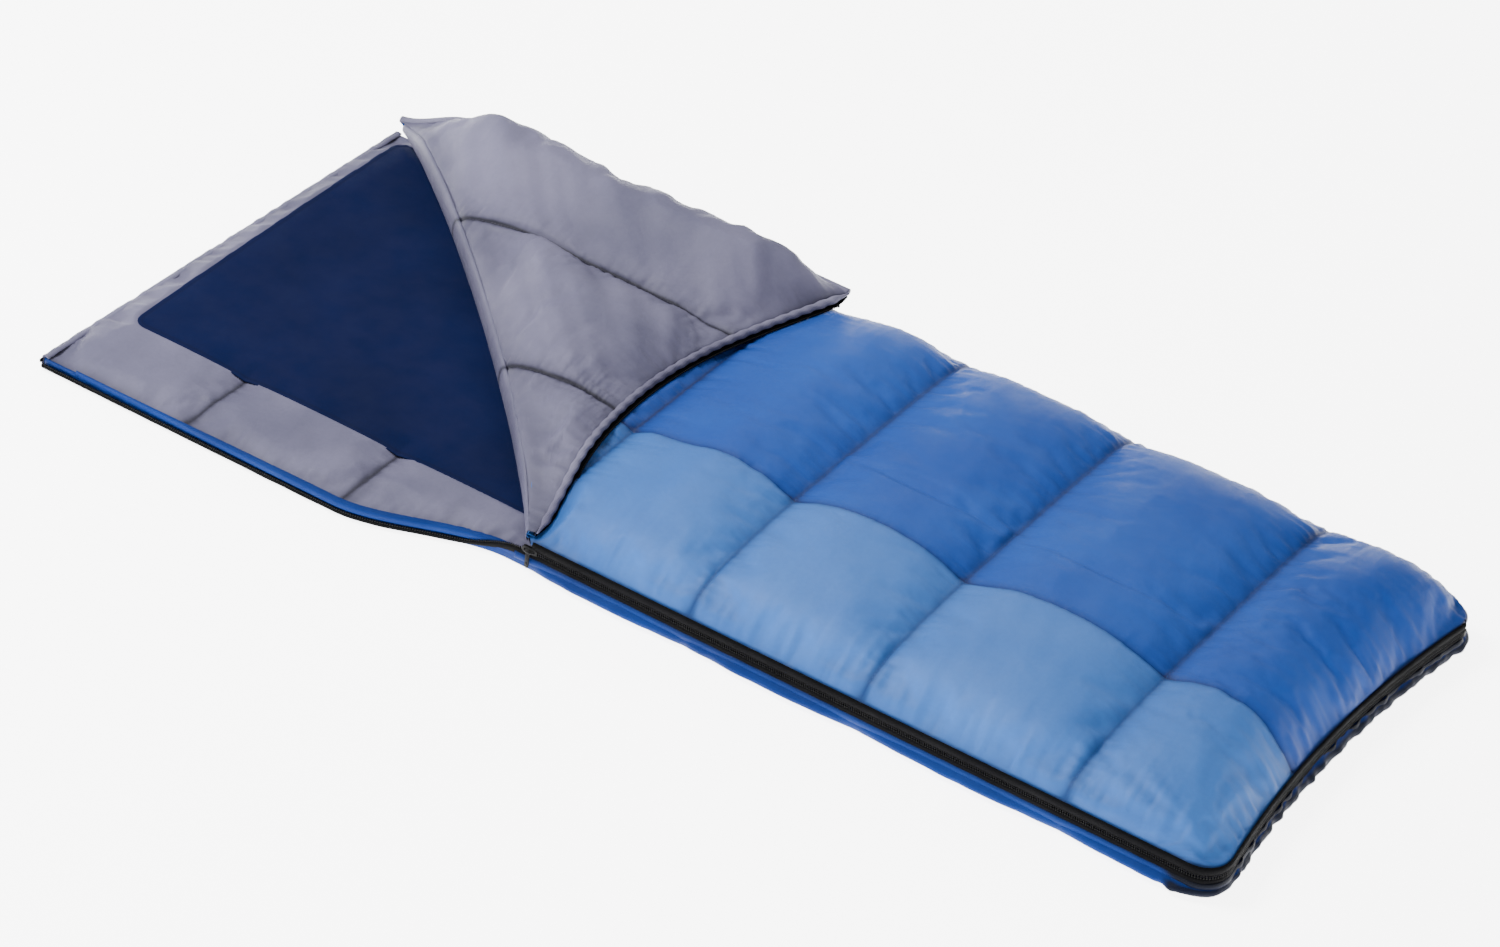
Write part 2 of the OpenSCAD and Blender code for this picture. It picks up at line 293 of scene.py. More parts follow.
def quilt(name, top, low, near, bulge, cut=None, split_rim=False):
    """A stitched quilt as one closed mesh: part 0 light top, 1 dark top, 2 underside, 3 rim."""
    n_cell, m, wall = 32, 91, 4
    k = int(round(m * LIGHT_SHARE))
    rows = np.concatenate([np.linspace(0, LIGHT_SHARE, k + 1), np.linspace(LIGHT_SHARE, 1, m - k)[1:]])
    tone = np.where(rows <= LIGHT_SHARE + 1e-6, 0, 1)
    last = len(SEAMS) - 2
    cols = [(c, j / n_cell) for c in range(last + 1) for j in range(n_cell)] + [(last, 1.0)]
    n = len(cols)
    grid = np.empty((n, m, 2))
    for i, (c, s) in enumerate(cols):
        a = head_x(rows) if c == 0 else np.full(m, SEAMS[c])
        b = foot_x(rows) if c == last else np.full(m, SEAMS[c + 1])
        grid[i, :, 0] = mix(a, b, s)
        grid[i, :, 1] = mix(near(grid[i, :, 0]), Y_FAR, rows)
    flat = grid.reshape(-1, 2)
    vv = np.tile(rows, n)
    up = np.column_stack([flat, top(flat[:, 0], vv)])
    down = np.column_stack([flat, low(flat[:, 0], vv)])
    faces = grid_faces(n, m) + grid_faces(n, m, n * m, flip=True)
    part = list(np.tile(tone[1:], n - 1)) + [2] * ((n - 1) * (m - 1))
    rim = np.array([i * m for i in range(n)] + [(n - 1) * m + j for j in range(1, m)]
                   + [i * m + m - 1 for i in range(n - 2, -1, -1)] + list(range(m - 2, 0, -1)))
    rings, stack = [rim], [up, down]
    line = flat[rim]
    ahead = np.roll(line, -1, axis=0) - np.roll(line, 1, axis=0)
    ahead /= np.linalg.norm(ahead, axis=1, keepdims=True)
    outward = np.column_stack([ahead[:, 1], -ahead[:, 0], np.zeros(len(rim))])
    for r in range(1, wall):
        share = r / wall
        rings.append(2 * n * m + (r - 1) * len(rim) + np.arange(len(rim)))
        stack.append(mix(up[rim], down[rim], share) + outward * bulge(line, share)[:, None])
    rings.append(n * m + rim)
    for over, under in zip(rings[:-1], rings[1:]):
        for q in range(len(rim)):
            w = (q + 1) % len(rim)
            faces.append((over[w], over[q], under[q], under[w]))
            part.append(tone[max(rim[q] % m, rim[w] % m)] if split_rim else 3)
    obj = new_object(name, np.vstack(stack), faces)
    set_parts(obj, part)
    extra = (wall - 1) * len(rim)
    pin = np.zeros((n, m), bool)
    pin[[s == 0.0 and c > 0 for c, s in cols], :] = True
    pin[[0, n - 1], :] = True
    pin[:, [0, m - 1]] = True
    attribute(obj, "pin", np.concatenate([np.tile(pin.ravel().astype(float), 2), np.ones(extra)]))
    attribute(obj, "top", np.concatenate([np.ones(n * m), np.zeros(n * m + extra)]))
    if cut is not None:
        bm = bmesh.new()
        bm.from_mesh(obj.data)
        bmesh.ops.bisect_plane(bm, geom=bm.verts[:] + bm.edges[:] + bm.faces[:], dist=1e-5, plane_co=cut[0],
                               plane_no=cut[1], clear_outer=True)
        pl = bm.verts.layers.float["pin"]
        for e in bm.edges:
            if e.is_boundary:
                for p in e.verts:
                    p[pl] = 1.0
        bm.to_mesh(obj.data)
        bm.free()
    return obj


def values(obj, name):
    out = np.empty(len(obj.data.vertices), np.float32)
    obj.data.attributes[name].data.foreach_get("value", out)
    return out.astype(float)


def upper_fall(x, v):
    return np.sqrt(smooth((foot_x(v) - x) / 0.11))


def upper_free(x):
    return smooth((x + 0.10) / 0.11)


def fold_distance(x, y):
    """How far a point is from the fold line, on the folded corner's side."""
    return np.maximum(0, x - fold_x(y)) * FOLD_SLANT


def fold_sink(x, y):
    """How far the folded stack sinks beside the fold, and more so at the head's far corner."""
    corner = np.hypot(x - FOLD_FAR[0], y - FOLD_FAR[1])
    tip = np.hypot(x - FOLD_NEAR[0], y - FOLD_NEAR[1])
    beside = 0.024 * (1 - smooth(fold_distance(x, y) / 0.13))
    return beside + 0.030 * (1 - smooth(corner / 0.13)) + 0.026 * (1 - smooth(tip / 0.16))


def upper_top(x, v):
    k = upper_free(x)
    f = upper_fall(x, v)
    lift = mix(0.042 + 0.005 * swell(x), 0.054 * f + 0.016 * swell(x) * np.minimum(1, 1.4 * f), k)
    return 0.054 + arch(v) * lift


def upper_low(x, v):
    f = upper_fall(x, v)
    near_fold = 1 - smooth(fold_distance(x, mix(Y_NEAR, Y_FAR, v)) / 0.13)
    return 0.0415 + arch(v) * mix(0.021 - 0.013 * near_fold, 0.038 * f, upper_free(x))


def make_upper():
    def bulge(line, share):
        waves = ridges(line[:, 0] + line[:, 1], np.zeros(len(line)), seed=8.0, fine=0.011)
        return 0.0042 * math.sin(math.pi * share) ** 0.7 * (1 + 0.35 * waves)

    start = FOLD_NEAR - FOLD_OUT * 0.005
    q = quilt("upper", upper_top, upper_low, lambda x: np.full_like(x, Y_NEAR), bulge,
              cut=(Vector((*start, 0)), Vector((*FOLD_OUT, 0))), split_rim=True)
    inflate(q, values(q, "pin") > 0.99, pressure=3.0, excess=0.035, cap=0.024)
    subdivide(q)
    return q


def pucker_upper(obj):
    co, nrm = vectors(obj.data), vectors(obj.data, "normal")
    x, y, z = co.T
    v = across(y)
    d = seam_distance(x)
    dy = np.abs(y - LIGHT_Y)
    edge = np.minimum(v, 1 - v) * WIDTH
    foot = np.maximum(0, foot_x(v) - x)
    hem = x - hem_x(np.clip(fold_t(y), 0, 1))
    hem = np.where(hem > 0, hem, 1.0)
    g1 = seam_gathers(y, d, 1.0, 0.009)
    g2 = ridges(x, dy, seed=2.0, fine=0.009) * np.exp(-dy / 0.022) * 0.5
    g3 = edge_gathers(x, edge, 3.0, 0.010, 0.050, 0.004)
    g4 = edge_gathers(y, foot, 4.0, 0.011, 0.038, 0.004)
    g5 = ridges(y, hem, seed=5.0, fine=0.010) * np.exp(-hem / 0.040)
    swirl = np.hypot(x - FAN_AT[0], y - FAN_AT[1])
    angle = np.arctan2(y - FAN_AT[1], FAN_AT[0] - x)
    fan = np.sin(angle * 21 + 3.0 * np.sin(swirl * 22)) * smooth(swirl / 0.05)
    fan *= np.exp(-((swirl - 0.10) / 0.055) ** 2) * (0.55 + 0.45 * np.sin(angle * 5.0 + 1.0))
    soft = ridges(x + 0.35 * y, y - 0.35 * x, seed=6.0, fine=0.07, long=0.13)
    height = 0.0026 * g1 + 0.0017 * g2 + 0.0030 * g3 + 0.0024 * g4 + 0.0030 * g5 + 0.0009 * fan
    height += 0.0022 * soft * smooth(np.minimum(d, edge) / 0.05) - 0.0024 * np.exp(-(dy / 0.0045) ** 2)
    set_coords(obj, co + nrm * (height * values(obj, "top"))[:, None])
    # Painted shade: darker at the cross seams, the colour join, the side edges and rim wall, beside the folded
    # corner's hem, at the foot edge and in gather valleys.
    painted_shade = np.exp(-d / 0.007) * 0.9 + 0.75 * np.exp(-dy / 0.0045) + 0.45 * np.exp(-edge / 0.012)
    painted_shade += smooth((0.0545 - z) / 0.004) * (np.minimum(edge, foot) < 0.006)
    painted_shade += 0.55 * np.exp(-hem / 0.022) + 0.4 * np.exp(-foot / 0.010)
    painted_shade += np.clip(-0.16 * (g1 + g3 + g4 + g5 + fan), 0, 0.3)
    attribute(obj, "painted_shade", np.clip(painted_shade, 0, 1))


def lower_top(x, v):
    hem = np.minimum(1, np.minimum(v, 1 - v) * 12) * np.minimum(1, np.maximum(0, (x - head_x(v))) / 0.03)
    rise = np.maximum(0, np.sin(np.pi * np.clip(v, 0, 1))) ** 0.3
    return 0.022 + 0.010 * swell(x) * rise * np.clip(hem, 0, 1)


def make_lower():
    def bulge(line, share):
        x, y = line.T
        foot = smooth((x - 0.86) / 0.04)
        crumple = ridges(x + y, np.full_like(x, 0.8 * share), seed=31.0, fine=0.016, long=0.05)
        slack = 0.0045 * ridges(x, np.zeros_like(x), seed=33.0, fine=0.075, long=0.2)
        room = mix(0.0004, 0.0040 + 0.0115 * swell(x) + slack, smooth((x - FLARE_START) / 0.1))
        return np.sin(math.pi * share) ** 0.6 * (room + 0.0016 * crumple + foot * (0.004 + 0.010 * crumple))

    q = quilt("lower", lower_top, lambda x, v: np.zeros_like(x), near_y, bulge)
    pin = (values(q, "pin") > 0.99) | (vectors(q.data)[:, 2] < 0.001)
    inflate(q, pin, pressure=2.0, excess=0.03, cap=0.014)
    subdivide(q)
    return q


# ---- Folded corner: t runs along the fold from the zip side, s from the fold to the zip edge


def hem_x(t):
    """The folded corner's zip edge, which bows towards the head between its two ends."""
    return mix(-0.150, -0.108, t) - 0.069 * np.sin(np.pi * np.clip(t, 0, 1)) ** 1.15


def fold_t(y):
    return (y - FOLD_NEAR[1]) / (FOLD_FAR[1] - FOLD_NEAR[1])


def fold_roll(t):
    """Radius of the rolled cloth along the fold."""
    return 0.006 + 0.016 * np.sqrt(smooth(t / 0.32)) * np.sqrt(smooth((1 - t) / 0.22))


def fold_inset(t):
    """How far along X the outside of the roll lies from the fold line."""
    return 0.003 + 0.043 * np.sin(np.pi * np.clip(t, 0, 1) ** 1.15) ** 0.6


def flap_start(t):
    """Where the folded corner's upper side begins, just inside the outside of the roll."""
    return fold_x(fold_y(t)) + fold_inset(t) + 0.22 * fold_roll(t) * smooth(t / 0.12)


def flap_seam_gap(t):
    """How far t is from the nearest cross seam of the folded corner."""
    return np.min([np.abs(t - fold_t(v)) for v in FLAP_SEAMS[1:-1]], axis=0)


def flap_lift(x, t):
    dh = np.maximum(0, hem_x(t) - x)
    df = np.maximum(0, x - flap_start(t))
    lines = [fold_t(y) for y in FLAP_SEAMS]
    lift = np.zeros_like(t)
    for k, (puff, lean) in enumerate([(0.020, 1.0), (0.034, 1.0), (0.061, 2.7)]):
        w = np.clip((t - lines[k]) / (lines[k + 1] - lines[k]), 0, 1)
        lift += puff * np.sin(np.pi * w ** lean) ** 0.6 * ((t >= lines[k]) & (t <= lines[k + 1]))
    roll = fold_roll(t)
    body = roll * (1 - smooth(df / 0.24)) + (0.015 + lift) * smooth(df / 0.19)
    turn = np.clip(df / (1.5 * roll), 0, 1)
    body = body * (0.30 + 0.70 * np.sqrt(1 - (1 - turn) ** 2))
    edge = smooth(dh / mix(0.20, 0.12, smooth((t - 0.6) / 0.3))) ** 0.42 * np.sqrt(smooth((1 - t) / 0.06))
    return mix(0.009, body, edge)


def make_flap():
    n, m = 84, 104
    t, s = np.meshgrid(np.linspace(0, 1, m), np.linspace(0, 1, n))
    s = s ** 1.25
    y = fold_y(t)
    x = mix(np.minimum(flap_start(t), hem_x(t) - 0.006), hem_x(t), s)
    sink = fold_sink(x, y)
    low = FOLD_Z + 0.001 + 0.004 * np.exp(-flap_seam_gap(t) / 0.02) - sink
    top = np.maximum(FOLD_Z + flap_lift(x, t) - sink, low + 0.003)
    verts = [np.stack([x, y, z], axis=-1).reshape(-1, 3) for z in (top, low)]
    faces = grid_faces(n, m) + grid_faces(n, m, n * m, flip=True)
    centre_x = 0.25 * (x[:-1, :-1] + x[1:, :-1] + x[:-1, 1:] + x[1:, 1:])
    light_edge = hem_x(0.5 * (t[:-1, :-1] + t[1:, 1:])) - LIGHT_SHARE * WIDTH
    part = [2] * ((n - 1) * (m - 1)) + list(np.where(centre_x > light_edge, 0, 1).ravel())
    edge = [i * m + m - 1 for i in range(n)]
    hem = [(n - 1) * m + j for j in range(m)]
    for line, flip in ((edge, True), (hem, False)):
        for a, b in zip(line[:-1], line[1:]):
            quad = (b, a, n * m + a, n * m + b)
            faces.append(quad[::-1] if flip else quad)
            part.append(2)
    obj = new_object("flap_body", np.vstack(verts), faces)
    set_parts(obj, part)
    pin = np.zeros((n, m), bool)
    pin[[0, n - 1], :] = True
    pin[:, [0, m - 1]] = True
    for v in FLAP_SEAMS[1:-1]:
        pin[:, int(np.argmin(np.abs(t[0] - fold_t(v))))] = True
    attribute(obj, "t", np.tile(t.ravel(), 2))
    attribute(obj, "top", np.concatenate([np.ones(n * m), np.zeros(n * m)]))
    inflate(obj, np.concatenate([pin.ravel(), np.ones(n * m, bool)]), pressure=2.5, excess=0.03, cap=0.014)
    subdivide(obj)
    return obj


def finish_flap(obj):
    co, nrm = vectors(obj.data), vectors(obj.data, "normal")
    x, y, z = co.T.copy()
    t = values(obj, "t")
    top = values(obj, "top")
    span = FOLD_FAR[1] - FOLD_NEAR[1]
    d = flap_seam_gap(t) * span
    dh = np.maximum(0, hem_x(t) - x)
    far = (1 - t) * span
    df = np.maximum(0, x - fold_x(y))
    g1 = seam_gathers(x, d, 11.0, 0.010)
    g2 = edge_gathers(y, dh, 12.0, 0.011, 0.045, 0.006)
    g3 = edge_gathers(x, far, 13.0, 0.014, 0.05, 0.006)
    soft = ridges((x + y) / 2**0.5, (x - y) / 2**0.5, seed=14.0, fine=0.055, long=0.28)
    body = smooth(dh / 0.06) * smooth(far / 0.03) * smooth(df / 0.05) * smooth(d / 0.04)
    height = 0.0028 * g1 + 0.003 * g2 + 0.0025 * g3 + 0.0060 * soft * body - 0.0030 * np.exp(-(d / 0.004) ** 2)
    calm = smooth((x - flap_start(t)) / 0.07)
    co[:, 2] = np.where(top > 0.9, mix(FOLD_Z + flap_lift(x, t) - fold_sink(x, y), z, calm), z)
    co = co + nrm * (height * smooth(top * 1.2 - 0.1))[:, None]
    co[:, 2] = np.clip(co[:, 2], FOLD_Z + 0.0006 - fold_sink(co[:, 0], co[:, 1]), FLAP_CREST)
    set_coords(obj, co)
    # Painted shade: darker at the cross seams, beside the zip edge, near the fold and in the valleys of the
    # gathers.
    painted_shade = np.exp(-(d / 0.0032) ** 2) + 0.5 * np.exp(-d / 0.012) + 0.4 * np.exp(-dh / 0.012)
    painted_shade += 0.25 * (1 - calm) + np.clip(-0.14 * (g1 + g2 + soft * body), 0, 0.3)
    attribute(obj, "painted_shade", np.clip(painted_shade, 0, 1))


# ---- Strips that follow a path


def resample(points, step):
    p = np.asarray(points, float)
    seg = np.linalg.norm(np.diff(p, axis=0), axis=1)
    run = np.concatenate([[0], np.cumsum(seg)])
    n = max(2, int(round(run[-1] / step)) + 1)
    at = np.linspace(0, run[-1], n)
    return np.column_stack([np.interp(at, run, p[:, k]) for k in range(p.shape[1])])


def path_frames(path):
    """Unit tangents and outward normals (to the right of the way walked) of a plan path."""
    t = np.gradient(path[:, :2], axis=0)
    t /= np.linalg.norm(t, axis=1, keepdims=True)
    return t, np.column_stack([t[:, 1], -t[:, 0]])


def sweep(name, path, profile, closed=False, jitter=None):
    """A strip: profile is a list of (out, up) or a function of the path's rows giving one per row."""
    _, out = path_frames(path)
    n = len(path)
    shape = np.asarray([profile] * n if not callable(profile) else profile(path), float)
    m = shape.shape[1]
    verts = np.empty((n, m, 3))
    base = path[:, 2] if path.shape[1] > 2 else np.zeros(n)
    for j in range(m):
        verts[:, j, :2] = path[:, :2] + out * shape[:, j, 0:1]
        verts[:, j, 2] = base + shape[:, j, 1]
    if jitter is not None:
        verts += jitter(verts)
    faces = grid_faces(n, m)
    if closed:
        for i in range(n - 1):
            a = i * m
            faces.append((a + m - 1, a + 2 * m - 1, a + m, a))
        faces += [tuple(range(m)), tuple(reversed(range((n - 1) * m, n * m)))]
    obj = new_object(name, verts.reshape(-1, 3), faces)
    shade_smooth(obj)
    return obj


def wobble(amount, scale, seed, rows=slice(None)):
    """A jitter for sweep: the given rows rise and fall along the strip."""
    def add(verts):
        out = np.zeros_like(verts)
        for i, p in enumerate(verts[:, 0]):
            out[i, rows, 2] = amount * wave(p[0] * scale, p[1] * scale, seed)
        return out
    return add


def thicken(obj, thickness, offset=0.0):
    mod = obj.modifiers.new("thick", "SOLIDIFY")
    mod.thickness = thickness
    mod.offset = offset
    apply_modifiers(obj)
    shade_smooth(obj)


def ring(radius, sides, squash):
    a = np.linspace(0, 2 * np.pi, sides, endpoint=False)
    return [(radius * math.cos(q), radius * squash * math.sin(q)) for q in a]


def zip_plan():
    """The zip's line: along the zip side from the head, round the foot corner and along the foot."""
    corner = foot_x(np.array([0.0]))[0]
    x = np.concatenate([np.linspace(SEAMS[0], -0.15, 160), np.linspace(-0.15, corner, 60)[1:]])
    side = np.column_stack([x, near_y(x)])
    v = np.concatenate([np.linspace(0.0005, 0.07, 40), np.linspace(0.07, 0.9505, 120)[1:]])
    foot = np.column_stack([foot_x(v), mix(Y_NEAR, Y_FAR, v)])
    return resample(np.vstack([side, foot]), 0.004)


def open_drop(path):
    """Where the zip is open its lower half lies down a little."""
    return -0.0165 * smooth((-0.165 - path[:, 0]) / 0.10)


def after(path, x0):
    """The part of the zip's line beyond x0 on the zip side."""
    return path[np.argmax((path[:, 0] > x0) & (path[:, 1] > Y_NEAR - 0.003)):]


def teeth(name, path, out, z, side):
    """One half of a zip's coil: rounded loops in a row along the path; side is +1 for the upper half."""
    p = resample(path, 0.0036)
    t, nrm = path_frames(p)
    bm = bmesh.new()
    for i in range(len(p)):
        m = Matrix((
            (t[i, 0], nrm[i, 0], 0, p[i, 0] + nrm[i, 0] * out),
            (t[i, 1], nrm[i, 1], 0, p[i, 1] + nrm[i, 1] * out),
            (0, 0, 1, z + p[i, 2]),
            (0, 0, 0, 1)))
        made = bmesh.ops.create_cube(bm, size=1.0, matrix=m @ Matrix.Diagonal((0.0021, 0.0032, 0.0030, 1)))
        for v in made["verts"]:
            local = m.inverted() @ v.co
            if local.z * side < 0:
                v.co = m @ Vector((local.x * 0.62, local.y * 0.7, local.z))
    bmesh.ops.bevel(bm, geom=bm.edges[:], offset=0.00055, segments=1, affect="EDGES")
    return from_bmesh(name, bm)


def stitches(name, lines, surface):
    """Threads of a sewn line, laid on a surface; lines are plan paths."""
    length, gap, width = 0.0034, 0.0022, 0.0007
    tree = BVHTree.FromObject(surface, bpy.context.evaluated_depsgraph_get())
    verts, faces = [], []
    for line in lines:
        p = resample(line, length + gap)
        for a, b in zip(p[:-1], p[1:]):
            ends = [tree.ray_cast(Vector((*q[:2], 0.3)), Vector((0, 0, -1)))[0]
                    for q in (a, a + (b - a) * length / (length + gap))]
            if None in ends or abs(ends[0].z - ends[1].z) > 0.003:
                continue
            d = (ends[1] - ends[0]).normalized()
            w = Vector((-d.y, d.x, 0)).normalized() * width / 2
            up = Vector((0, 0, 0.00045))
            k = len(verts)
            mid = (ends[0] + ends[1]) / 2 + up * 1.2
            verts += [ends[0] - w, ends[0] + w, mid - w, mid + w, ends[1] - w, ends[1] + w]
            verts += [ends[0] - up, mid - up * 3, ends[1] - up]
            faces += [(k, k + 2, k + 3, k + 1), (k + 2, k + 4, k + 5, k + 3)]
            faces += [(k, k + 6, k + 7, k + 2), (k + 2, k + 7, k + 8, k + 4)]
            faces += [(k + 1, k + 3, k + 7, k + 6), (k + 3, k + 5, k + 8, k + 7)]
    obj = new_object(name, verts, faces)
    shade_smooth(obj)
    return obj


# ---- Materials


def linear(rgb):
    out = []
    for c in rgb:
        c /= 255
        out.append(c / 12.92 if c <= 0.04045 else ((c + 0.055) / 1.055) ** 2.4)
    return (*out, 1.0)


def nodes_of(name):
    mat = bpy.data.materials.new(name)
    mat.use_nodes = True
    tree = mat.node_tree
    bsdf = next(n for n in tree.nodes if n.type == "BSDF_PRINCIPLED")
    return mat, tree, bsdf


def node(tree, kind, **sockets):
    n = tree.nodes.new(kind)
    for key, value in sockets.items():
        n.inputs[key.replace("_", " ")].default_value = value
    return n


def blend_colour(tree, factor, a, b, mode="MIX"):
    """factor, a and b are sockets or plain values; gives the mixed colour's socket."""
    n = tree.nodes.new("ShaderNodeMix")
    n.data_type = "RGBA"
    n.blend_type = mode
    for socket, value in ((n.inputs[0], factor), (n.inputs[6], a), (n.inputs[7], b)):
        if isinstance(value, bpy.types.NodeSocket):
            tree.links.new(value, socket)
        else:
            socket.default_value = value
    return n.outputs[2]


def ramp(tree, source, low, high, start=0.0, end=1.0):
    """Maps the source's low to high onto start to end, and holds it there."""
    n = node(tree, "ShaderNodeMapRange", From_Min=low, From_Max=high, To_Min=start, To_Max=end)
    tree.links.new(source, n.inputs["Value"])
    return n.outputs["Result"]


def cloth_material(name, base, shade, light, rough=0.5, sheen=0.04, pitch=0.0011, crumple=0.5, weave=0.5,
                   specular=0.2):
    """Woven cloth: two thread directions in relief, patchy tone, small crumples, and painted shade in the shade
    colour along the seams, creases and edges.
    """
    mat, tree, bsdf = nodes_of(name)
    base, shade, light = map(linear, (base, shade, light))
    place = tree.nodes.new("ShaderNodeTexCoord").outputs["Object"]

    def noise_of(scale, detail=3.0, distortion=0.0):
        n = node(tree, "ShaderNodeTexNoise", Scale=scale, Detail=detail, Distortion=distortion)
        tree.links.new(place, n.inputs["Vector"])
        return n.outputs["Fac"]

    def threads(direction):
        n = node(tree, "ShaderNodeTexWave", Scale=0.314 / pitch, Distortion=0.6, Detail=1.0)
        n.wave_type = "BANDS"
        n.bands_direction = direction
        tree.links.new(place, n.inputs["Vector"])
        return n.outputs["Fac"]

    warp, weft = threads("X"), threads("Y")
    both = tree.nodes.new("ShaderNodeMath")
    both.operation = "MULTIPLY"
    tree.links.new(warp, both.inputs[0])
    tree.links.new(weft, both.inputs[1])
    tone = blend_colour(tree, ramp(tree, noise_of(5.0), 0.36, 0.66), base, light)
    patchy = ramp(tree, noise_of(160.0, 4.0, 0.4), 0.35, 0.7)
    slub = blend_colour(tree, patchy, (0.94, 0.94, 0.95, 1), (1, 1, 1, 1))
    tone = blend_colour(tree, 1.0, tone, slub, "MULTIPLY")
    # Painted shade: a per-point attribute mixes the shade colour in where shade falls, at seams, creases, gaps
    # and shaded edges.
    attr = tree.nodes.new("ShaderNodeAttribute")
    attr.attribute_name = "painted_shade"
    tone = blend_colour(tree, attr.outputs["Fac"], tone, shade)
    fleck = blend_colour(tree, both.outputs[0], (0.93, 0.93, 0.94, 1), (1, 1, 1, 1))
    tree.links.new(blend_colour(tree, 1.0, tone, fleck, "MULTIPLY"), bsdf.inputs["Base Color"])
    tree.links.new(ramp(tree, noise_of(22.0), 0.3, 0.7, rough - 0.06, rough + 0.08), bsdf.inputs["Roughness"])
    relief = node(tree, "ShaderNodeBump", Strength=weave, Distance=0.0004)
    tree.links.new(both.outputs[0], relief.inputs["Height"])
    folds = node(tree, "ShaderNodeBump", Strength=crumple, Distance=0.003)
    tree.links.new(noise_of(14.0, 3.0, 0.8), folds.inputs["Height"])
    tree.links.new(relief.outputs["Normal"], folds.inputs["Normal"])
    tree.links.new(folds.outputs["Normal"], bsdf.inputs["Normal"])
    bsdf.inputs["Sheen Weight"].default_value = sheen
    bsdf.inputs["Sheen Roughness"].default_value = 0.4
    bsdf.inputs["Sheen Tint"].default_value = light
    bsdf.inputs["Specular IOR Level"].default_value = specular
    return mat


def hard_material(name, base, worn, rough):
    """Moulded nylon or enamelled metal, paler where it is rubbed."""
    mat, tree, bsdf = nodes_of(name)
    place = tree.nodes.new("ShaderNodeTexCoord").outputs["Object"]
    grain = node(tree, "ShaderNodeTexNoise", Scale=700.0, Detail=4.0)
    tree.links.new(place, grain.inputs["Vector"])
    point = tree.nodes.new("ShaderNodeNewGeometry").outputs["Pointiness"]
    edge = ramp(tree, point, 0.52, 0.60)
    tree.links.new(blend_colour(tree, edge, linear(base), linear(worn)), bsdf.inputs["Base Color"])
    patchy = ramp(tree, grain.outputs["Fac"], 0.3, 0.7, rough - 0.08, rough + 0.1)
    tree.links.new(patchy, bsdf.inputs["Roughness"])
    relief = node(tree, "ShaderNodeBump", Strength=0.25, Distance=0.0002)
    tree.links.new(grain.outputs["Fac"], relief.inputs["Height"])
    tree.links.new(relief.outputs["Normal"], bsdf.inputs["Normal"])
    bsdf.inputs["Metallic"].default_value = 0.0
    bsdf.inputs["Specular IOR Level"].default_value = 0.12
    return mat


def make_materials():
    cloth = cloth_material
    MATS.update(
        light=cloth("light_blue", (45, 94, 162), (2, 42, 90), (55, 103, 170), rough=0.44, sheen=0.06),
        royal=cloth("royal_blue", (12, 61, 139), (0, 19, 66), (18, 69, 148)),
        mid=cloth("mid_blue", (0, 30, 86), (1, 4, 16), (1, 40, 102), rough=0.6, specular=0.1),
        lining=cloth("grey_lining", (82, 81, 102), (20, 19, 33), (101, 99, 121), rough=0.55, sheen=0.08,
                     pitch=0.0014, crumple=0.75),
        piping=cloth("grey_cord", (84, 82, 102), (30, 28, 42), (112, 110, 130), rough=0.7, sheen=0.06,
                     pitch=0.0022, weave=1.0),
        navy=cloth("navy_lining", (4, 13, 47), (2, 8, 32), (6, 16, 53), rough=0.9, sheen=0.0, pitch=0.0014,
                   crumple=0.12, specular=0.1),
        tape=cloth("black_tape", (3, 3, 4), (2, 2, 2), (7, 7, 9), rough=0.85, sheen=0.0, pitch=0.0018,
                   crumple=0.2, weave=0.9, specular=0.06),
        coil=hard_material("black_nylon", (4, 4, 5), (22, 19, 17), 0.6),
        metal=hard_material("black_enamel", (3, 3, 4), (14, 14, 17), 0.62),
        thread_light=cloth("blue_thread", (20, 62, 128), (8, 30, 80), (34, 80, 150), pitch=0.0006),
        thread_grey=cloth("grey_thread", (44, 42, 58), (24, 22, 34), (62, 60, 78), pitch=0.0006))


def piece(obj, kind, body, *stands_for, slot=None):
    """Gives a piece its material, its body and the nodes it stands for; the slot argument is not used.

    body is one body's name, or two names with the blend's start and end points.
    """
    obj.data.materials.clear()
    obj.data.materials.append(MATS[kind])
    if isinstance(body, str):
        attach(obj, body)
    else:
        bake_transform(obj, body[0], body[1], start=body[2], end=body[3])
    if stands_for:
        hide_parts(*stands_for)


# ---- The lower quilt's lining panel, hems and wall strips


def lower_surface(x, y):
    v = np.clip((y - near_y(x)) / (Y_FAR - near_y(x)), 0, 1)
    return lower_top(x, v)


def past_straight(x, y):
    """How far a point is past the straight part of the panel's sides, along X and along Y."""
    return np.abs(x - PANEL_MID[0]) - PANEL_STRAIGHT[0], np.abs(y - PANEL_MID[1]) - PANEL_STRAIGHT[1]


def panel_inside(x, y):
    """How far a point is inside the lining panel's outline; its corners are rounded."""
    qx, qy = past_straight(x, y)
    outside = np.hypot(np.maximum(qx, 0), np.maximum(qy, 0)) + np.minimum(np.maximum(qx, qy), 0) - PANEL_ROUND
    return -outside


def panel_z(x, y):
    d = panel_inside(x, y)
    flat = 0.0345 + 0.0012 * np.sin(x * 9.0) * np.cos(y * 7.0)
    return mix(lower_surface(x, y) + 0.0025, flat, smooth(d / 0.045))


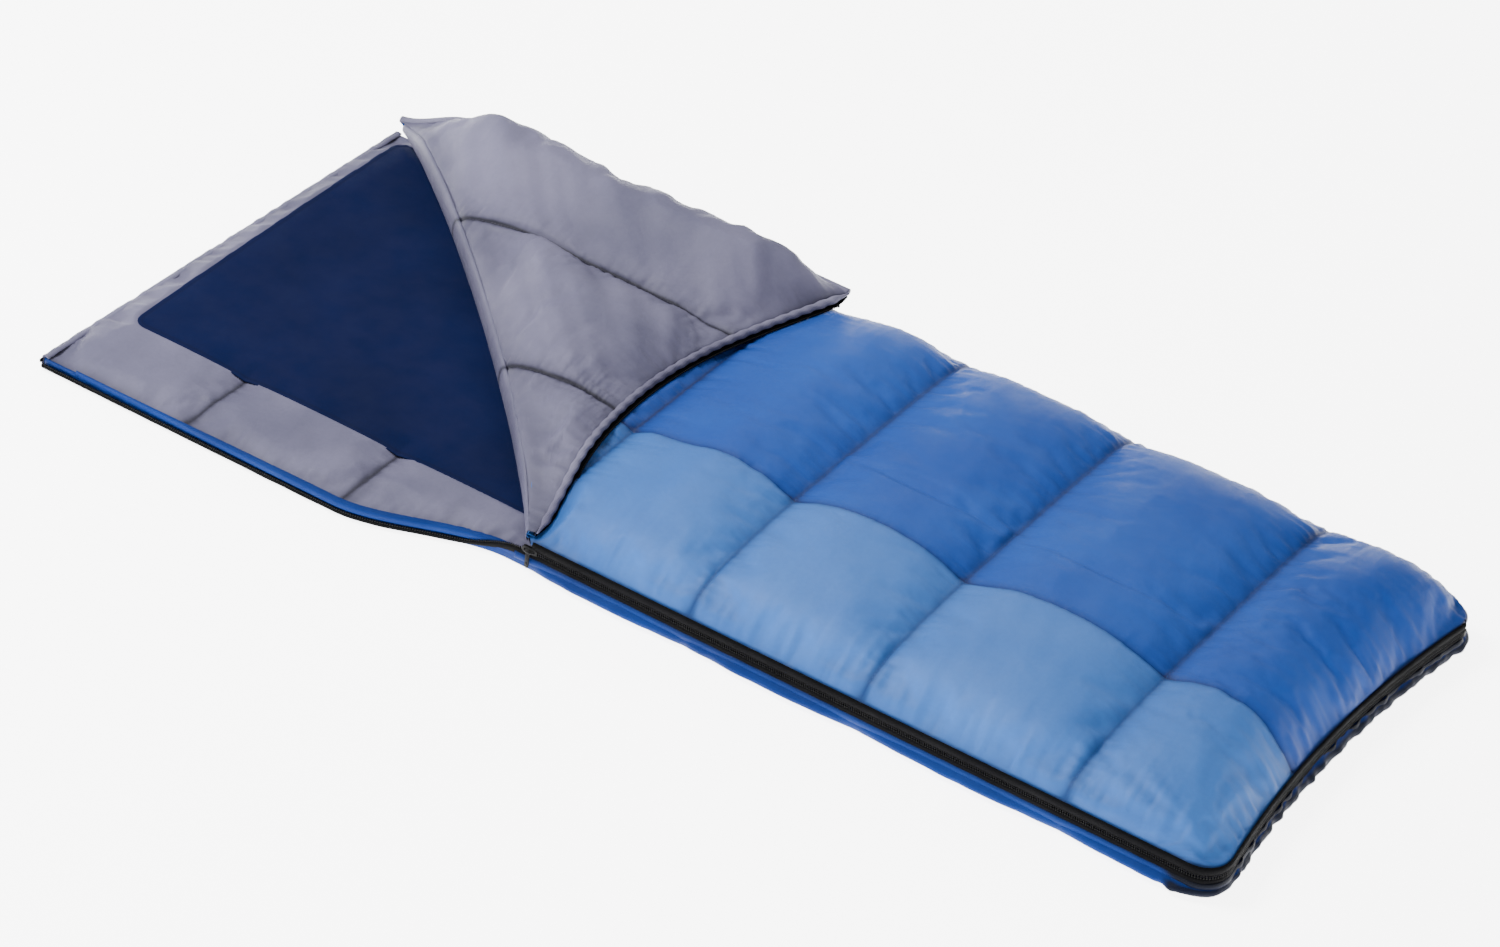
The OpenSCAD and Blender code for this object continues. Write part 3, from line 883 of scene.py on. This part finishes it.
def make_panel():
    n, m = 200, 168
    x, y = np.meshgrid(np.linspace(*PANEL_X, n), np.linspace(*PANEL_Y, m), indexing="ij")
    ex, ey = (np.maximum(0, q) / PANEL_ROUND for q in past_straight(x, y))
    corner = (ex > 0) & (ey > 0)
    k = np.where(corner, np.maximum(ex, ey) / np.maximum(1e-9, np.hypot(ex, ey)), 1.0)
    x, y = (np.where(corner, mid + np.sign(a - mid) * (straight + PANEL_ROUND * e * k), a)
            for a, mid, straight, e in zip((x, y), PANEL_MID, PANEL_STRAIGHT, (ex, ey)))
    d = panel_inside(x, y)
    z = panel_z(x, y) + 0.0007 - 0.0006 * np.exp(-((d - 0.007) / 0.003) ** 2)
    obj = new_object("navy_panel", np.stack([x, y, z], axis=-1).reshape(-1, 3), grid_faces(n, m))
    shade_smooth(obj)
    # Painted shade in the shallow groove a little inside the panel's edge.
    attribute(obj, "painted_shade", np.exp(-((d.ravel() - 0.007) / 0.002) ** 2) * 0.5)
    thicken(obj, 0.0012, 1.0)
    return obj


def finish_lower(obj):
    co, nrm = vectors(obj.data), vectors(obj.data, "normal")
    x, y, _ = co.T
    top = values(obj, "top")
    v = np.clip((y - near_y(x)) / (Y_FAR - near_y(x)), 0, 1)
    d = seam_distance(x)
    near = y - near_y(x)
    head = x - head_x(v)
    g1 = seam_gathers(y, d, 21.0, 0.010)
    g2 = ridges(x, near, seed=22.0, fine=0.012) * np.exp(-np.maximum(0, near) / 0.04)
    g3 = ridges(y, head, seed=23.0, fine=0.013) * np.exp(-np.maximum(0, head) / 0.04)
    soft = ridges(x + 0.4 * y, y - 0.4 * x, seed=24.0, fine=0.045, long=0.09)
    h = 0.0028 * g1 + 0.0026 * g2 + 0.0026 * g3 + 0.0018 * soft
    h = h * np.minimum(1, np.maximum(0, np.minimum(near, head)) / 0.006)
    co = co + nrm * (h * smooth(top * 2 - 1))[:, None]
    inside = smooth((panel_inside(co[:, 0], co[:, 1]) + 0.004) / 0.010)
    under = panel_z(co[:, 0], co[:, 1]) - 0.0012
    limit = mix(LINING_CREST, np.minimum(LINING_CREST, under), inside)
    co[:, 2] = np.maximum(np.where(top > 0.5, np.minimum(co[:, 2], limit), co[:, 2]), 0.0)
    set_coords(obj, co)
    # Painted shade: darker at the seams, along the zip and head edges and in gather valleys; dark paints the
    # shell's foot end near black as shade under the foot.
    painted_shade = np.exp(-(d / 0.0032) ** 2) + 0.5 * np.exp(-d / 0.012) + 0.5 * np.exp(-np.maximum(0, near) / 0.010)
    painted_shade += 0.4 * np.exp(-np.maximum(0, head) / 0.014) + np.clip(-0.16 * (g1 + g2 + g3 + soft), 0, 0.35)
    dark = 0.95 * smooth((co[:, 0] - 0.875) / 0.02) * (top < 0.5)
    attribute(obj, "painted_shade", np.clip(painted_shade * (top > 0.5) + dark, 0, 1))


def build_lower():
    q = make_lower()
    finish_lower(q)
    shell, lining = split_parts(q, lower_shell_cloth={2, 3}, lower_lining_cloth={0, 1})
    piece(shell, "mid", "lower_quilt", "lower_shell")
    piece(lining, "lining", "lower_quilt", "lower_lining", "lower_batting")
    v = np.linspace(0.012, 0.988, 300)
    lines = [np.column_stack([np.full_like(v, s), mix(near_y(np.array([s])), Y_FAR, v)]) for s in SEAMS[1:4]]
    piece(stitches("lower_stitching", lines, lining), "thread_grey", "lower_quilt")
    panel = make_panel()
    piece(panel, "navy", "lower_quilt", "lining_panel")


def build_head_binding():
    v = np.linspace(1, 0, 120)
    head = resample(np.column_stack([head_x(v), mix(near_y(head_x(v)), Y_FAR, v)]), 0.004)
    hem = [(-0.010, 0.0225), (-0.004, 0.0238), (0.0012, 0.0225), (0.0028, 0.016), (0.0026, 0.006),
           (0.0006, 0.0015)]
    binding = sweep("head_binding", head, hem, jitter=wobble(0.0024, 60, 3.0))
    thicken(binding, 0.0010)
    piece(binding, "lining", "lower_quilt", "lower_head_binding")


# ---- The zip


def build_zip():
    path = zip_plan()
    path = np.column_stack([path, open_drop(path)])
    closed = after(path, -0.150)
    shut = smooth((path[:, 0] + 0.26) / 0.10)

    def tape(name, line, profile, body, seed, cad):
        strip = sweep(name, line, profile, jitter=wobble(0.0006, 26, seed, slice(1, -1)))
        thicken(strip, 0.0009)
        piece(strip, "tape", body, cad)

    foot_z = 0.0185
    low = np.array([(-0.004, foot_z), (0.0010, 0.0195), (0.0036, 0.0235), (0.0044, 0.0290), (0.0036, 0.0345)])
    high = [(0.0034, 0.0395), (0.0048, 0.0420), (0.0056, 0.0460), (0.0056, 0.0500), (0.0030, 0.0530)]
    squat = np.column_stack([low[:, 0], foot_z + (low[:, 1] - foot_z) * 0.55])
    settling = mix(squat, low, shut[:, None, None])
    tape("zip_tape_lower", path, lambda p: settling, "lower_quilt", 1.0, "lower_zip_tape")
    tape("zip_tape_upper", closed, high, "upper_quilt", 2.0, "upper_zip_tape")
    settled = path.copy()
    settled[:, 2] -= 0.0070 * (1 - shut)
    lower = teeth("zip_coil_lower", settled[1:], COIL_OUT, CHAIN_Z - 0.0014, -1)
    upper = teeth("zip_coil_upper", closed[1:], COIL_OUT, CHAIN_Z + 0.0016, 1)
    piece(lower, "coil", "lower_quilt", "lower_zip_coil")
    piece(upper, "coil", "upper_quilt", "upper_zip_coil")

    def crumple(verts):
        out = np.zeros_like(verts)
        for i, p in enumerate(verts[:, 0]):
            foot = float(smooth((p[0] - 0.87) / 0.03))
            w = wave(p[0] * 42, p[1] * 42, 6.0)
            out[i, 1:, 2] = w * (0.0008 + 0.0020 * foot)
            out[i, 1:, 0] = max(0.0, w) * 0.006 * foot
        return out

    covered = path[(path[:, 0] > -0.175) & (path[:, 1] > Y_NEAR - 0.01)]
    guard = sweep("zip_guard", covered, [(-0.006, 0.0120), (0.0030, 0.0135), (0.0060, 0.0170), (0.0064, 0.0215),
                                         (0.0050, 0.0252), (0.0038, 0.0262)], jitter=crumple)
    x, _, z = vectors(guard.data).T
    # Painted shade: the guard near black at the foot, and darker along its top edge.
    attribute(guard, "painted_shade", smooth((x - 0.87) / 0.03) * 0.95 + 0.5 * smooth((z - 0.0235) / 0.002))
    thicken(guard, 0.0009)
    piece(guard, "mid", "lower_quilt", "lower_zip_guard")
    facing = path[(path[:, 0] > -0.90) & (path[:, 0] < -0.158) & (path[:, 1] < Y_NEAR + 0.001)]
    grow = 0.05 + 0.80 * smooth((facing[:, 0:1] + 0.90) / 0.45)
    shape = np.array([(-0.0100, 0.0215), (-0.0075, 0.0242), (-0.0030, 0.0250), (0.0016, 0.0228),
                      (0.0034, 0.0150)])
    rows = np.stack([shape[None, :, 0] * grow, shape[None, :, 1] - facing[:, 2:3]], axis=-1)
    strip = sweep("zip_facing", facing, lambda p: rows)
    thicken(strip, 0.0009)
    piece(strip, "mid", "lower_quilt")
    for name, cad, body, drop in (("zip_stop_lower", "lower_zip_stop", "lower_quilt", 0.0200),
                                  ("zip_box_shell", "zip_box", "lower_quilt", 0.0),
                                  ("zip_pin_rod", "zip_pin", "upper_quilt", 0.0)):
        low_corner, high_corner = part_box(cad)
        down = Vector((0, 0, drop))
        piece(rounded_box(name, low_corner - down, high_corner - down), "coil", body, cad)


def rounded_box(name, low, high):
    """A moulded block with a waist, softened on every edge."""
    bm = bmesh.new()
    size, mid = high - low, (low + high) / 2
    bmesh.ops.create_cube(bm, size=1.0, matrix=Matrix.Translation(mid) @ Matrix.Diagonal((*size, 1)))
    bmesh.ops.subdivide_edges(bm, edges=bm.edges[:], cuts=2, use_grid_fill=True)
    for v in bm.verts:
        k = abs(v.co.z - mid.z) / (size.z / 2)
        v.co.x = mid.x + (v.co.x - mid.x) * (0.86 + 0.14 * k)
    bmesh.ops.bevel(bm, geom=bm.edges[:], offset=min(size) * 0.084, segments=2, affect="EDGES")
    return from_bmesh(name, bm)


def plate(bm, outline, x, y, z, depth, edge):
    """Adds a flat plate: an outline in XZ, depth thick along Y, with its edges softened."""
    front = [bm.verts.new((x + a, y, z + b)) for a, b in outline]
    back = [bm.verts.new((x + a, y + depth, z + b)) for a, b in outline]
    bm.faces.new(front)
    bm.faces.new(back[::-1])
    for k in range(len(outline)):
        j = (k + 1) % len(outline)
        bm.faces.new((front[j], front[k], back[k], back[j]))
    if edge:
        bmesh.ops.bevel(bm, geom=bm.edges[:], offset=edge, segments=2, affect="EDGES")


def build_slider():
    low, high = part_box("slider_body")
    x, back_y, z = (low.x + high.x) / 2, high.y, CHAIN_Z
    bm = bmesh.new()
    wing = [(-0.013, 0.0032), (-0.010, 0.0054), (0.000, 0.0056), (0.008, 0.0050), (0.013, 0.0034)]
    wing = [(a, -b) for a, b in wing] + wing[::-1]
    plate(bm, wing, x, back_y - 0.0016, z, 0.0014, 0.0)
    plate(bm, wing, x, back_y - 0.0052, z, 0.0014, 0.0004)
    steps, bridge = 14, []
    strap = [(-0.0008, -0.0016), (0.0008, -0.0016), (0.0010, 0.0016), (-0.0010, 0.0016)]
    for k in range(steps + 1):
        a = math.pi * k / steps
        c = Vector((x - 0.0082 * math.cos(a), back_y - 0.0050 - 0.0052 * math.sin(a), z))
        t = Vector((math.sin(a), -math.cos(a) * 0.6, 0)).normalized()
        side = Vector((-t.y, t.x, 0))
        bridge.append([bm.verts.new(c + side * u + Vector((0, 0, w))) for u, w in strap])
    for r0, r1 in zip(bridge[:-1], bridge[1:]):
        for k in range(4):
            bm.faces.new((r0[k], r0[(k + 1) % 4], r1[(k + 1) % 4], r1[k]))
    bmesh.ops.recalc_face_normals(bm, faces=bm.faces[:])
    shell = from_bmesh("slider_shell", bm)
    subdivide(shell)
    shade_smooth(shell)
    piece(shell, "metal", "slider", "slider_body")

    low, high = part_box("slider_pull")
    x, y = (low.x + high.x) / 2, (low.y + high.y) / 2
    half = [(0.0030, 0.0025), (0.0034, -0.002), (0.0026, -0.006), (0.0030, -0.012), (0.0036, -0.020),
            (0.0030, -0.0255), (0.0012, -0.0268)]
    bm = bmesh.new()
    plate(bm, half + [(-a, b) for a, b in reversed(half)], x, y - 0.0011, z, 0.0022, 0.0005)
    knob = Matrix.Translation((x, y - 0.0006, z - 0.0195)) @ Matrix.Diagonal((1, 0.6, 1.6, 1))
    bmesh.ops.create_uvsphere(bm, u_segments=16, v_segments=8, radius=0.0022, matrix=knob)
    bmesh.ops.recalc_face_normals(bm, faces=bm.faces[:])
    piece(from_bmesh("slider_tab", bm), "metal", "pull", "slider_pull")


# ---- Fold, flap trim and far side


def build_upper():
    q = make_upper()
    pucker_upper(q)
    press_upper(q)
    light, dark, lining = split_parts(q, upper_cloth_light={0}, upper_cloth_dark={1}, upper_cloth_lining={2, 3})
    piece(light, "light", "upper_quilt", "upper_shell_light")
    piece(dark, "royal", "upper_quilt", "upper_shell_dark", "upper_batting")
    piece(lining, "lining", "upper_quilt", "upper_lining")
    y = np.linspace(Y_NEAR + 0.012, Y_FAR - 0.02, 300)
    for kind, keep, shell, slot in (("light", y < LIGHT_Y, light, "light_blue_shell"),
                                    ("dark", y >= LIGHT_Y, dark, "royal_blue_shell")):
        lines = [np.column_stack([np.full(keep.sum(), s), y[keep]]) for s in SEAMS[4:7]]
        sewn = stitches(f"upper_stitching_{kind}", lines, shell)
        piece(sewn, "thread_light", "upper_quilt", slot=slot)


def press_upper(obj):
    """Keeps the pressed part of the upper quilt below the folded corner."""
    co = vectors(obj.data)
    t = np.clip(fold_t(co[:, 1]), 0, 1)
    past = smooth((co[:, 0] - hem_x(t) - 0.006) / 0.095)
    depth = fold_distance(co[:, 0], co[:, 1])
    pressed = FOLD_Z - 0.0015 - fold_sink(co[:, 0], co[:, 1])
    bend = np.sqrt(1 - (1 - np.clip((depth - 0.002) / 0.020, 0, 1)) ** 2)
    middle = 0.060 - 0.4 * (0.080 - pressed)
    upside = values(obj, "top") > 0.5
    under = np.where(upside, np.minimum(co[:, 2], mix(pressed, 1.0, past)), co[:, 2])
    pinched = mix(middle, under, bend)
    co[:, 2] = np.where(upside, np.minimum(pinched, mix(pressed, UPPER_CREST, past)), pinched)
    co[:, 0] += (fold_inset(t) + 0.35 * fold_roll(t)) * smooth(t / 0.12) * (1 - smooth(depth / 0.06))
    set_coords(obj, co)


def build_fold():
    """The rolled lining at the fold, split at the joint, and the blue gusset that bends inside it."""
    n, m = 260, 44
    t = np.linspace(0.004, 0.985, n)
    y = fold_y(t)
    path = np.column_stack([np.minimum(flap_start(t) + 0.0015, hem_x(t) - 0.004), y])
    low = upper_low(path[:, 0], across(y)) - 0.0008
    high = FOLD_Z + np.maximum(flap_lift(path[:, 0], t), 0.004) - fold_sink(path[:, 0], y)
    a = np.linspace(-math.pi / 2, math.pi / 2, m)
    bulge = (path[:, 0] - fold_x(y) - fold_inset(t)) * FOLD_SLANT + 0.0035
    out = np.cos(a)[None, :] ** 0.8 * bulge[:, None]
    verts = np.empty((n, m, 3))
    verts[:, :, :2] = path[:, None, :] + FOLD_OUT * out[:, :, None]
    verts[:, :, 2] = ((high + low) / 2)[:, None] + np.sin(a)[None, :] * ((high - low) / 2)[:, None]
    length = t * np.linalg.norm(FOLD_FAR - FOLD_NEAR)
    for i in range(n):
        for j in range(m):
            w = wave(length[i] / 0.035, a[j] * 0.5, 5.0) * 0.0018
            w += wave(length[i] / 0.12, a[j] * 0.3, 9.0) * 0.003
            verts[i, j, :2] += FOLD_OUT * w * math.cos(a[j]) * smooth(np.array(bulge[i] / 0.02))

    turn = np.linspace(-math.pi / 2, math.pi / 2, 30)
    leg = np.linspace(0, 1, 6)[:, None]
    under = mix(np.array([-0.030, 0.066]), np.array([-0.002, 0.070]), leg)
    over = mix(np.array([-0.002, 0.086]), np.array([-0.013, 0.0955]), leg)
    round_the_fold = np.column_stack([0.003 * np.cos(turn), GUSSET_Z + 0.008 * np.sin(turn)])
    gusset = np.vstack([under, round_the_fold, over])
    taper = (np.clip(t / 0.2, 0, 1) * np.clip((1 - t) / 0.12, 0, 1))[:, None]
    reach = np.where(gusset[None, :, 0] < 0, gusset[None, :, 0] * taper, gusset[None, :, 0])
    inner = np.empty((n, len(gusset), 3))
    inner[:, :, :2] = path[:, None, :2] + FOLD_OUT * reach[:, :, None]
    inner[:, :, 2] = GUSSET_Z + (gusset[None, :, 1] - GUSSET_Z) * (0.4 + 0.6 * taper)
    inner[:, :, 2] += 0.024 - fold_sink(path[:, 0], y)[:, None]
    split = int(np.searchsorted(y, LIGHT_Y))
    x_mid, y_mid = path[n // 2]
    joint = ("upper_quilt", "flap", (x_mid, y_mid, FOLD_Z - 0.032), (x_mid, y_mid, FOLD_Z - 0.019))
    for kind, rows, cad in (("light", inner[:split + 1], []), ("royal", inner[split:], ["fold_crease"])):
        shell = new_object(f"fold_shell_{kind}", rows.reshape(-1, 3), grid_faces(len(rows), len(gusset)))
        shade_smooth(shell)
        thicken(shell, 0.0007, -1.0)
        piece(shell, kind, joint, *cad)
    half = m // 2 + 3
    for name, rows, body in (("fold_roll_low", verts[:, :half + 1], "upper_quilt"),
                             ("fold_roll_high", verts[:, half:], "flap")):
        obj = new_object(name, rows.reshape(-1, 3), grid_faces(n, rows.shape[1], flip=True))
        to_seam = np.min([np.abs(rows[:, :, 1].ravel() - seam) for seam in FLAP_SEAMS[1:-1]], axis=0)
        # Painted shade: the whole roll a little darker, like the flap's shaded edge beside it, and darker again
        # on the cross seams.
        attribute(obj, "painted_shade", 0.25 + 0.75 * np.exp(-(to_seam / 0.0030) ** 2))
        shade_smooth(obj)
        thicken(obj, 0.0012, -1.0)
        piece(obj, "lining", body)
    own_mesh(obj)


def build_flap():
    body = make_flap()
    finish_flap(body)
    lining, light, dark = split_parts(body, flap_cloth_lining={2}, flap_cloth_light={0}, flap_cloth_dark={1})
    piece(lining, "lining", "flap", "flap_lining", "flap_batting")
    piece(light, "light", "flap", "flap_shell_light")
    piece(dark, "royal", "flap", "flap_shell_dark")

    t = np.linspace(0.003, 0.997, 400)
    y = fold_y(t)
    hem = resample(np.column_stack([hem_x(t), y, -fold_sink(hem_x(t), y)]), HEM_STEP)

    def cord_ring(path):
        sides = np.linspace(0, 2 * np.pi, 16, endpoint=False)
        out = np.empty((len(path), 16, 2))
        for i in range(len(path)):
            twist = 1 + 0.13 * np.cos(2 * (sides + i * 0.30))
            ends = smooth(np.array(i / 14)) * smooth(np.array((len(path) - 1 - i) / 14))
            size = 0.0056 * (1 + 0.10 * wave(i * HEM_STEP * 30, 0, 0)) * (0.25 + 0.75 * ends)
            out[i, :, 0] = 0.0025 + size * twist * np.cos(sides)
            out[i, :, 1] = FOLD_Z + 0.0076 + size * twist * np.sin(sides)
        return out

    piping = sweep("flap_piping", hem, cord_ring, closed=True)
    piece(piping, "piping", "flap", "flap_side_piping")

    def tape_rows(path):
        at = fold_t(path[:, 1])
        width = np.sqrt(smooth(at / 0.10) * smooth((1 - at) / 0.06))[:, None]
        rows = np.empty((len(path), 4, 2))
        widths = np.hstack([np.ones_like(width), width, width, width])
        rows[:, :, 0] = np.array([-0.004, 0.005, 0.009, 0.0125]) * widths
        rows[:, :, 1] = FOLD_Z + np.array([0.0016, 0.0014, 0.0010, 0.0006])
        return rows

    tape = sweep("zip_tape_flap", hem, tape_rows)
    thicken(tape, 0.0009)
    piece(tape, "tape", "flap", "flap_zip_tape")
    inset = hem[(fold_t(hem[:, 1]) > 0.09) & (fold_t(hem[:, 1]) < 0.955)]
    chain = teeth("zip_coil_flap", inset, 0.0128, FOLD_Z + 0.0014, 1)
    piece(chain, "coil", "flap", "flap_zip_coil")
    low_corner, high_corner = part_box("flap_zip_stop")
    move = Vector(inset[-1]) + Vector((0.0126, 0.0012, FOLD_Z + 0.0014)) - (low_corner + high_corner) / 2
    stop = rounded_box("zip_stop_flap", low_corner + move, high_corner + move)
    piece(stop, "coil", "flap", "flap_zip_stop")
    x = np.linspace(flap_start(1.0) + 0.004, hem_x(1.0), 220)
    y = np.full_like(x, FOLD_FAR[1])
    head = resample(np.column_stack([x, y, FOLD_Z + 0.0075 - fold_sink(x, y)])[::-1], 0.003)
    binding = sweep("flap_binding", head, ring(0.0058, 12, 0.95), closed=True)
    piece(binding, "piping", "flap", "flap_head_binding")
    lines = []
    for seam in FLAP_SEAMS[1:-1]:
        x = np.linspace(fold_x(seam) + 0.03, hem_x(fold_t(seam)) - 0.006, 200)
        lines.append(np.column_stack([x, np.full_like(x, seam)]))
    sewn = stitches("flap_stitching", lines, lining)
    piece(sewn, "thread_grey", "flap")
    for obj in (lining, light, dark, piping, tape, chain, stop, binding, sewn):
        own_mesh(obj)


def build_far_wall():
    x = np.linspace(-0.872, foot_x(np.array([1.0]))[0] - 0.004, 420)
    path = np.column_stack([x[::-1], np.full_like(x, Y_FAR)])
    profile = [(-0.003, 0.016), (0.0022, 0.021), (0.0042, 0.029), (0.0044, 0.038), (0.0028, 0.047),
               (-0.003, 0.053)]

    def crumple(verts):
        out = np.zeros_like(verts)
        for i in range(verts.shape[0]):
            for j in range(1, verts.shape[1] - 1):
                out[i, j, 1] = 0.0022 * wave(verts[i, j, 0] * 75, verts[i, j, 2] * 14, 4.0)
        return out

    wall = sweep("far_side_cloth", path, profile, jitter=crumple)
    if vectors(wall.data, "normal")[:, 1].mean() < 0:
        wall.data.flip_normals()
    subdivide(wall)
    thicken(wall, 0.0010)
    piece(wall, "royal", ("lower_quilt", "upper_quilt", (0, Y_FAR, 0.022), (0, Y_FAR, 0.049)), "far_side_wall")


# ---- Camera, light and floor


def make_camera():
    az, el, roll, distance = math.radians(28.5), math.radians(35.5), math.radians(7.9), 8.0
    target = Vector((-0.043, 0.060, 0.0))
    back = Vector((math.sin(az) * math.cos(el), -math.cos(az) * math.cos(el), math.sin(el)))
    right = Vector((0, 0, 1)).cross(back).normalized()
    up = back.cross(right)
    right, up = right * math.cos(roll) + up * math.sin(roll), up * math.cos(roll) - right * math.sin(roll)
    data = bpy.data.cameras.new("camera")
    data.lens = 133.2
    data.sensor_width = 36.0
    camera = link("camera", data)
    place = Matrix((right, up, back)).transposed().to_4x4()
    camera.matrix_world = Matrix.Translation(target + back * distance) @ place
    bpy.context.scene.camera = camera


def area_light(name, at, aim, size, power):
    data = bpy.data.lights.new(name, "AREA")
    data.shape = "RECTANGLE"
    data.size, data.size_y = size
    data.energy = power
    lamp = link(name, data)
    lamp.location = at
    lamp.rotation_euler = (Vector(aim) - Vector(at)).to_track_quat("-Z", "Y").to_euler()


def make_studio():
    world = bpy.data.worlds.new("studio")
    bpy.context.scene.world = world
    world.use_nodes = True
    sky = world.node_tree.nodes["Background"]
    sky.inputs["Color"].default_value = (1.0, 1.0, 1.0, 1)
    sky.inputs["Strength"].default_value = 0.5
    area_light("key", (-2.2, -1.0, 3.4), (0.1, 0, 0), (1.7, 1.7), 330)
    area_light("fill", (2.0, -2.6, 2.0), (0.6, -0.2, 0), (1.6, 1.6), 42)
    area_light("rim", (-1.2, 3.0, 2.0), (0, 0.2, 0), (2.6, 1.2), 40)
    floor = new_object("floor", [(-30, -30, 0), (30, -30, 0), (30, 30, 0), (-30, 30, 0)], [(0, 1, 2, 3)])
    mat, _, bsdf = nodes_of("floor_paper")
    bsdf.inputs["Base Color"].default_value = (0.96, 0.96, 0.96, 1)
    bsdf.inputs["Roughness"].default_value = 0.9
    bsdf.inputs["Emission Color"].default_value = (1, 1, 1, 1)
    bsdf.inputs["Emission Strength"].default_value = 5.8
    floor.data.materials.append(mat)


def main():
    make_camera()
    make_studio()
    make_materials()
    build_lower()
    build_head_binding()
    build_upper()
    build_fold()
    build_flap()
    build_far_wall()
    build_zip()
    build_slider()


main()
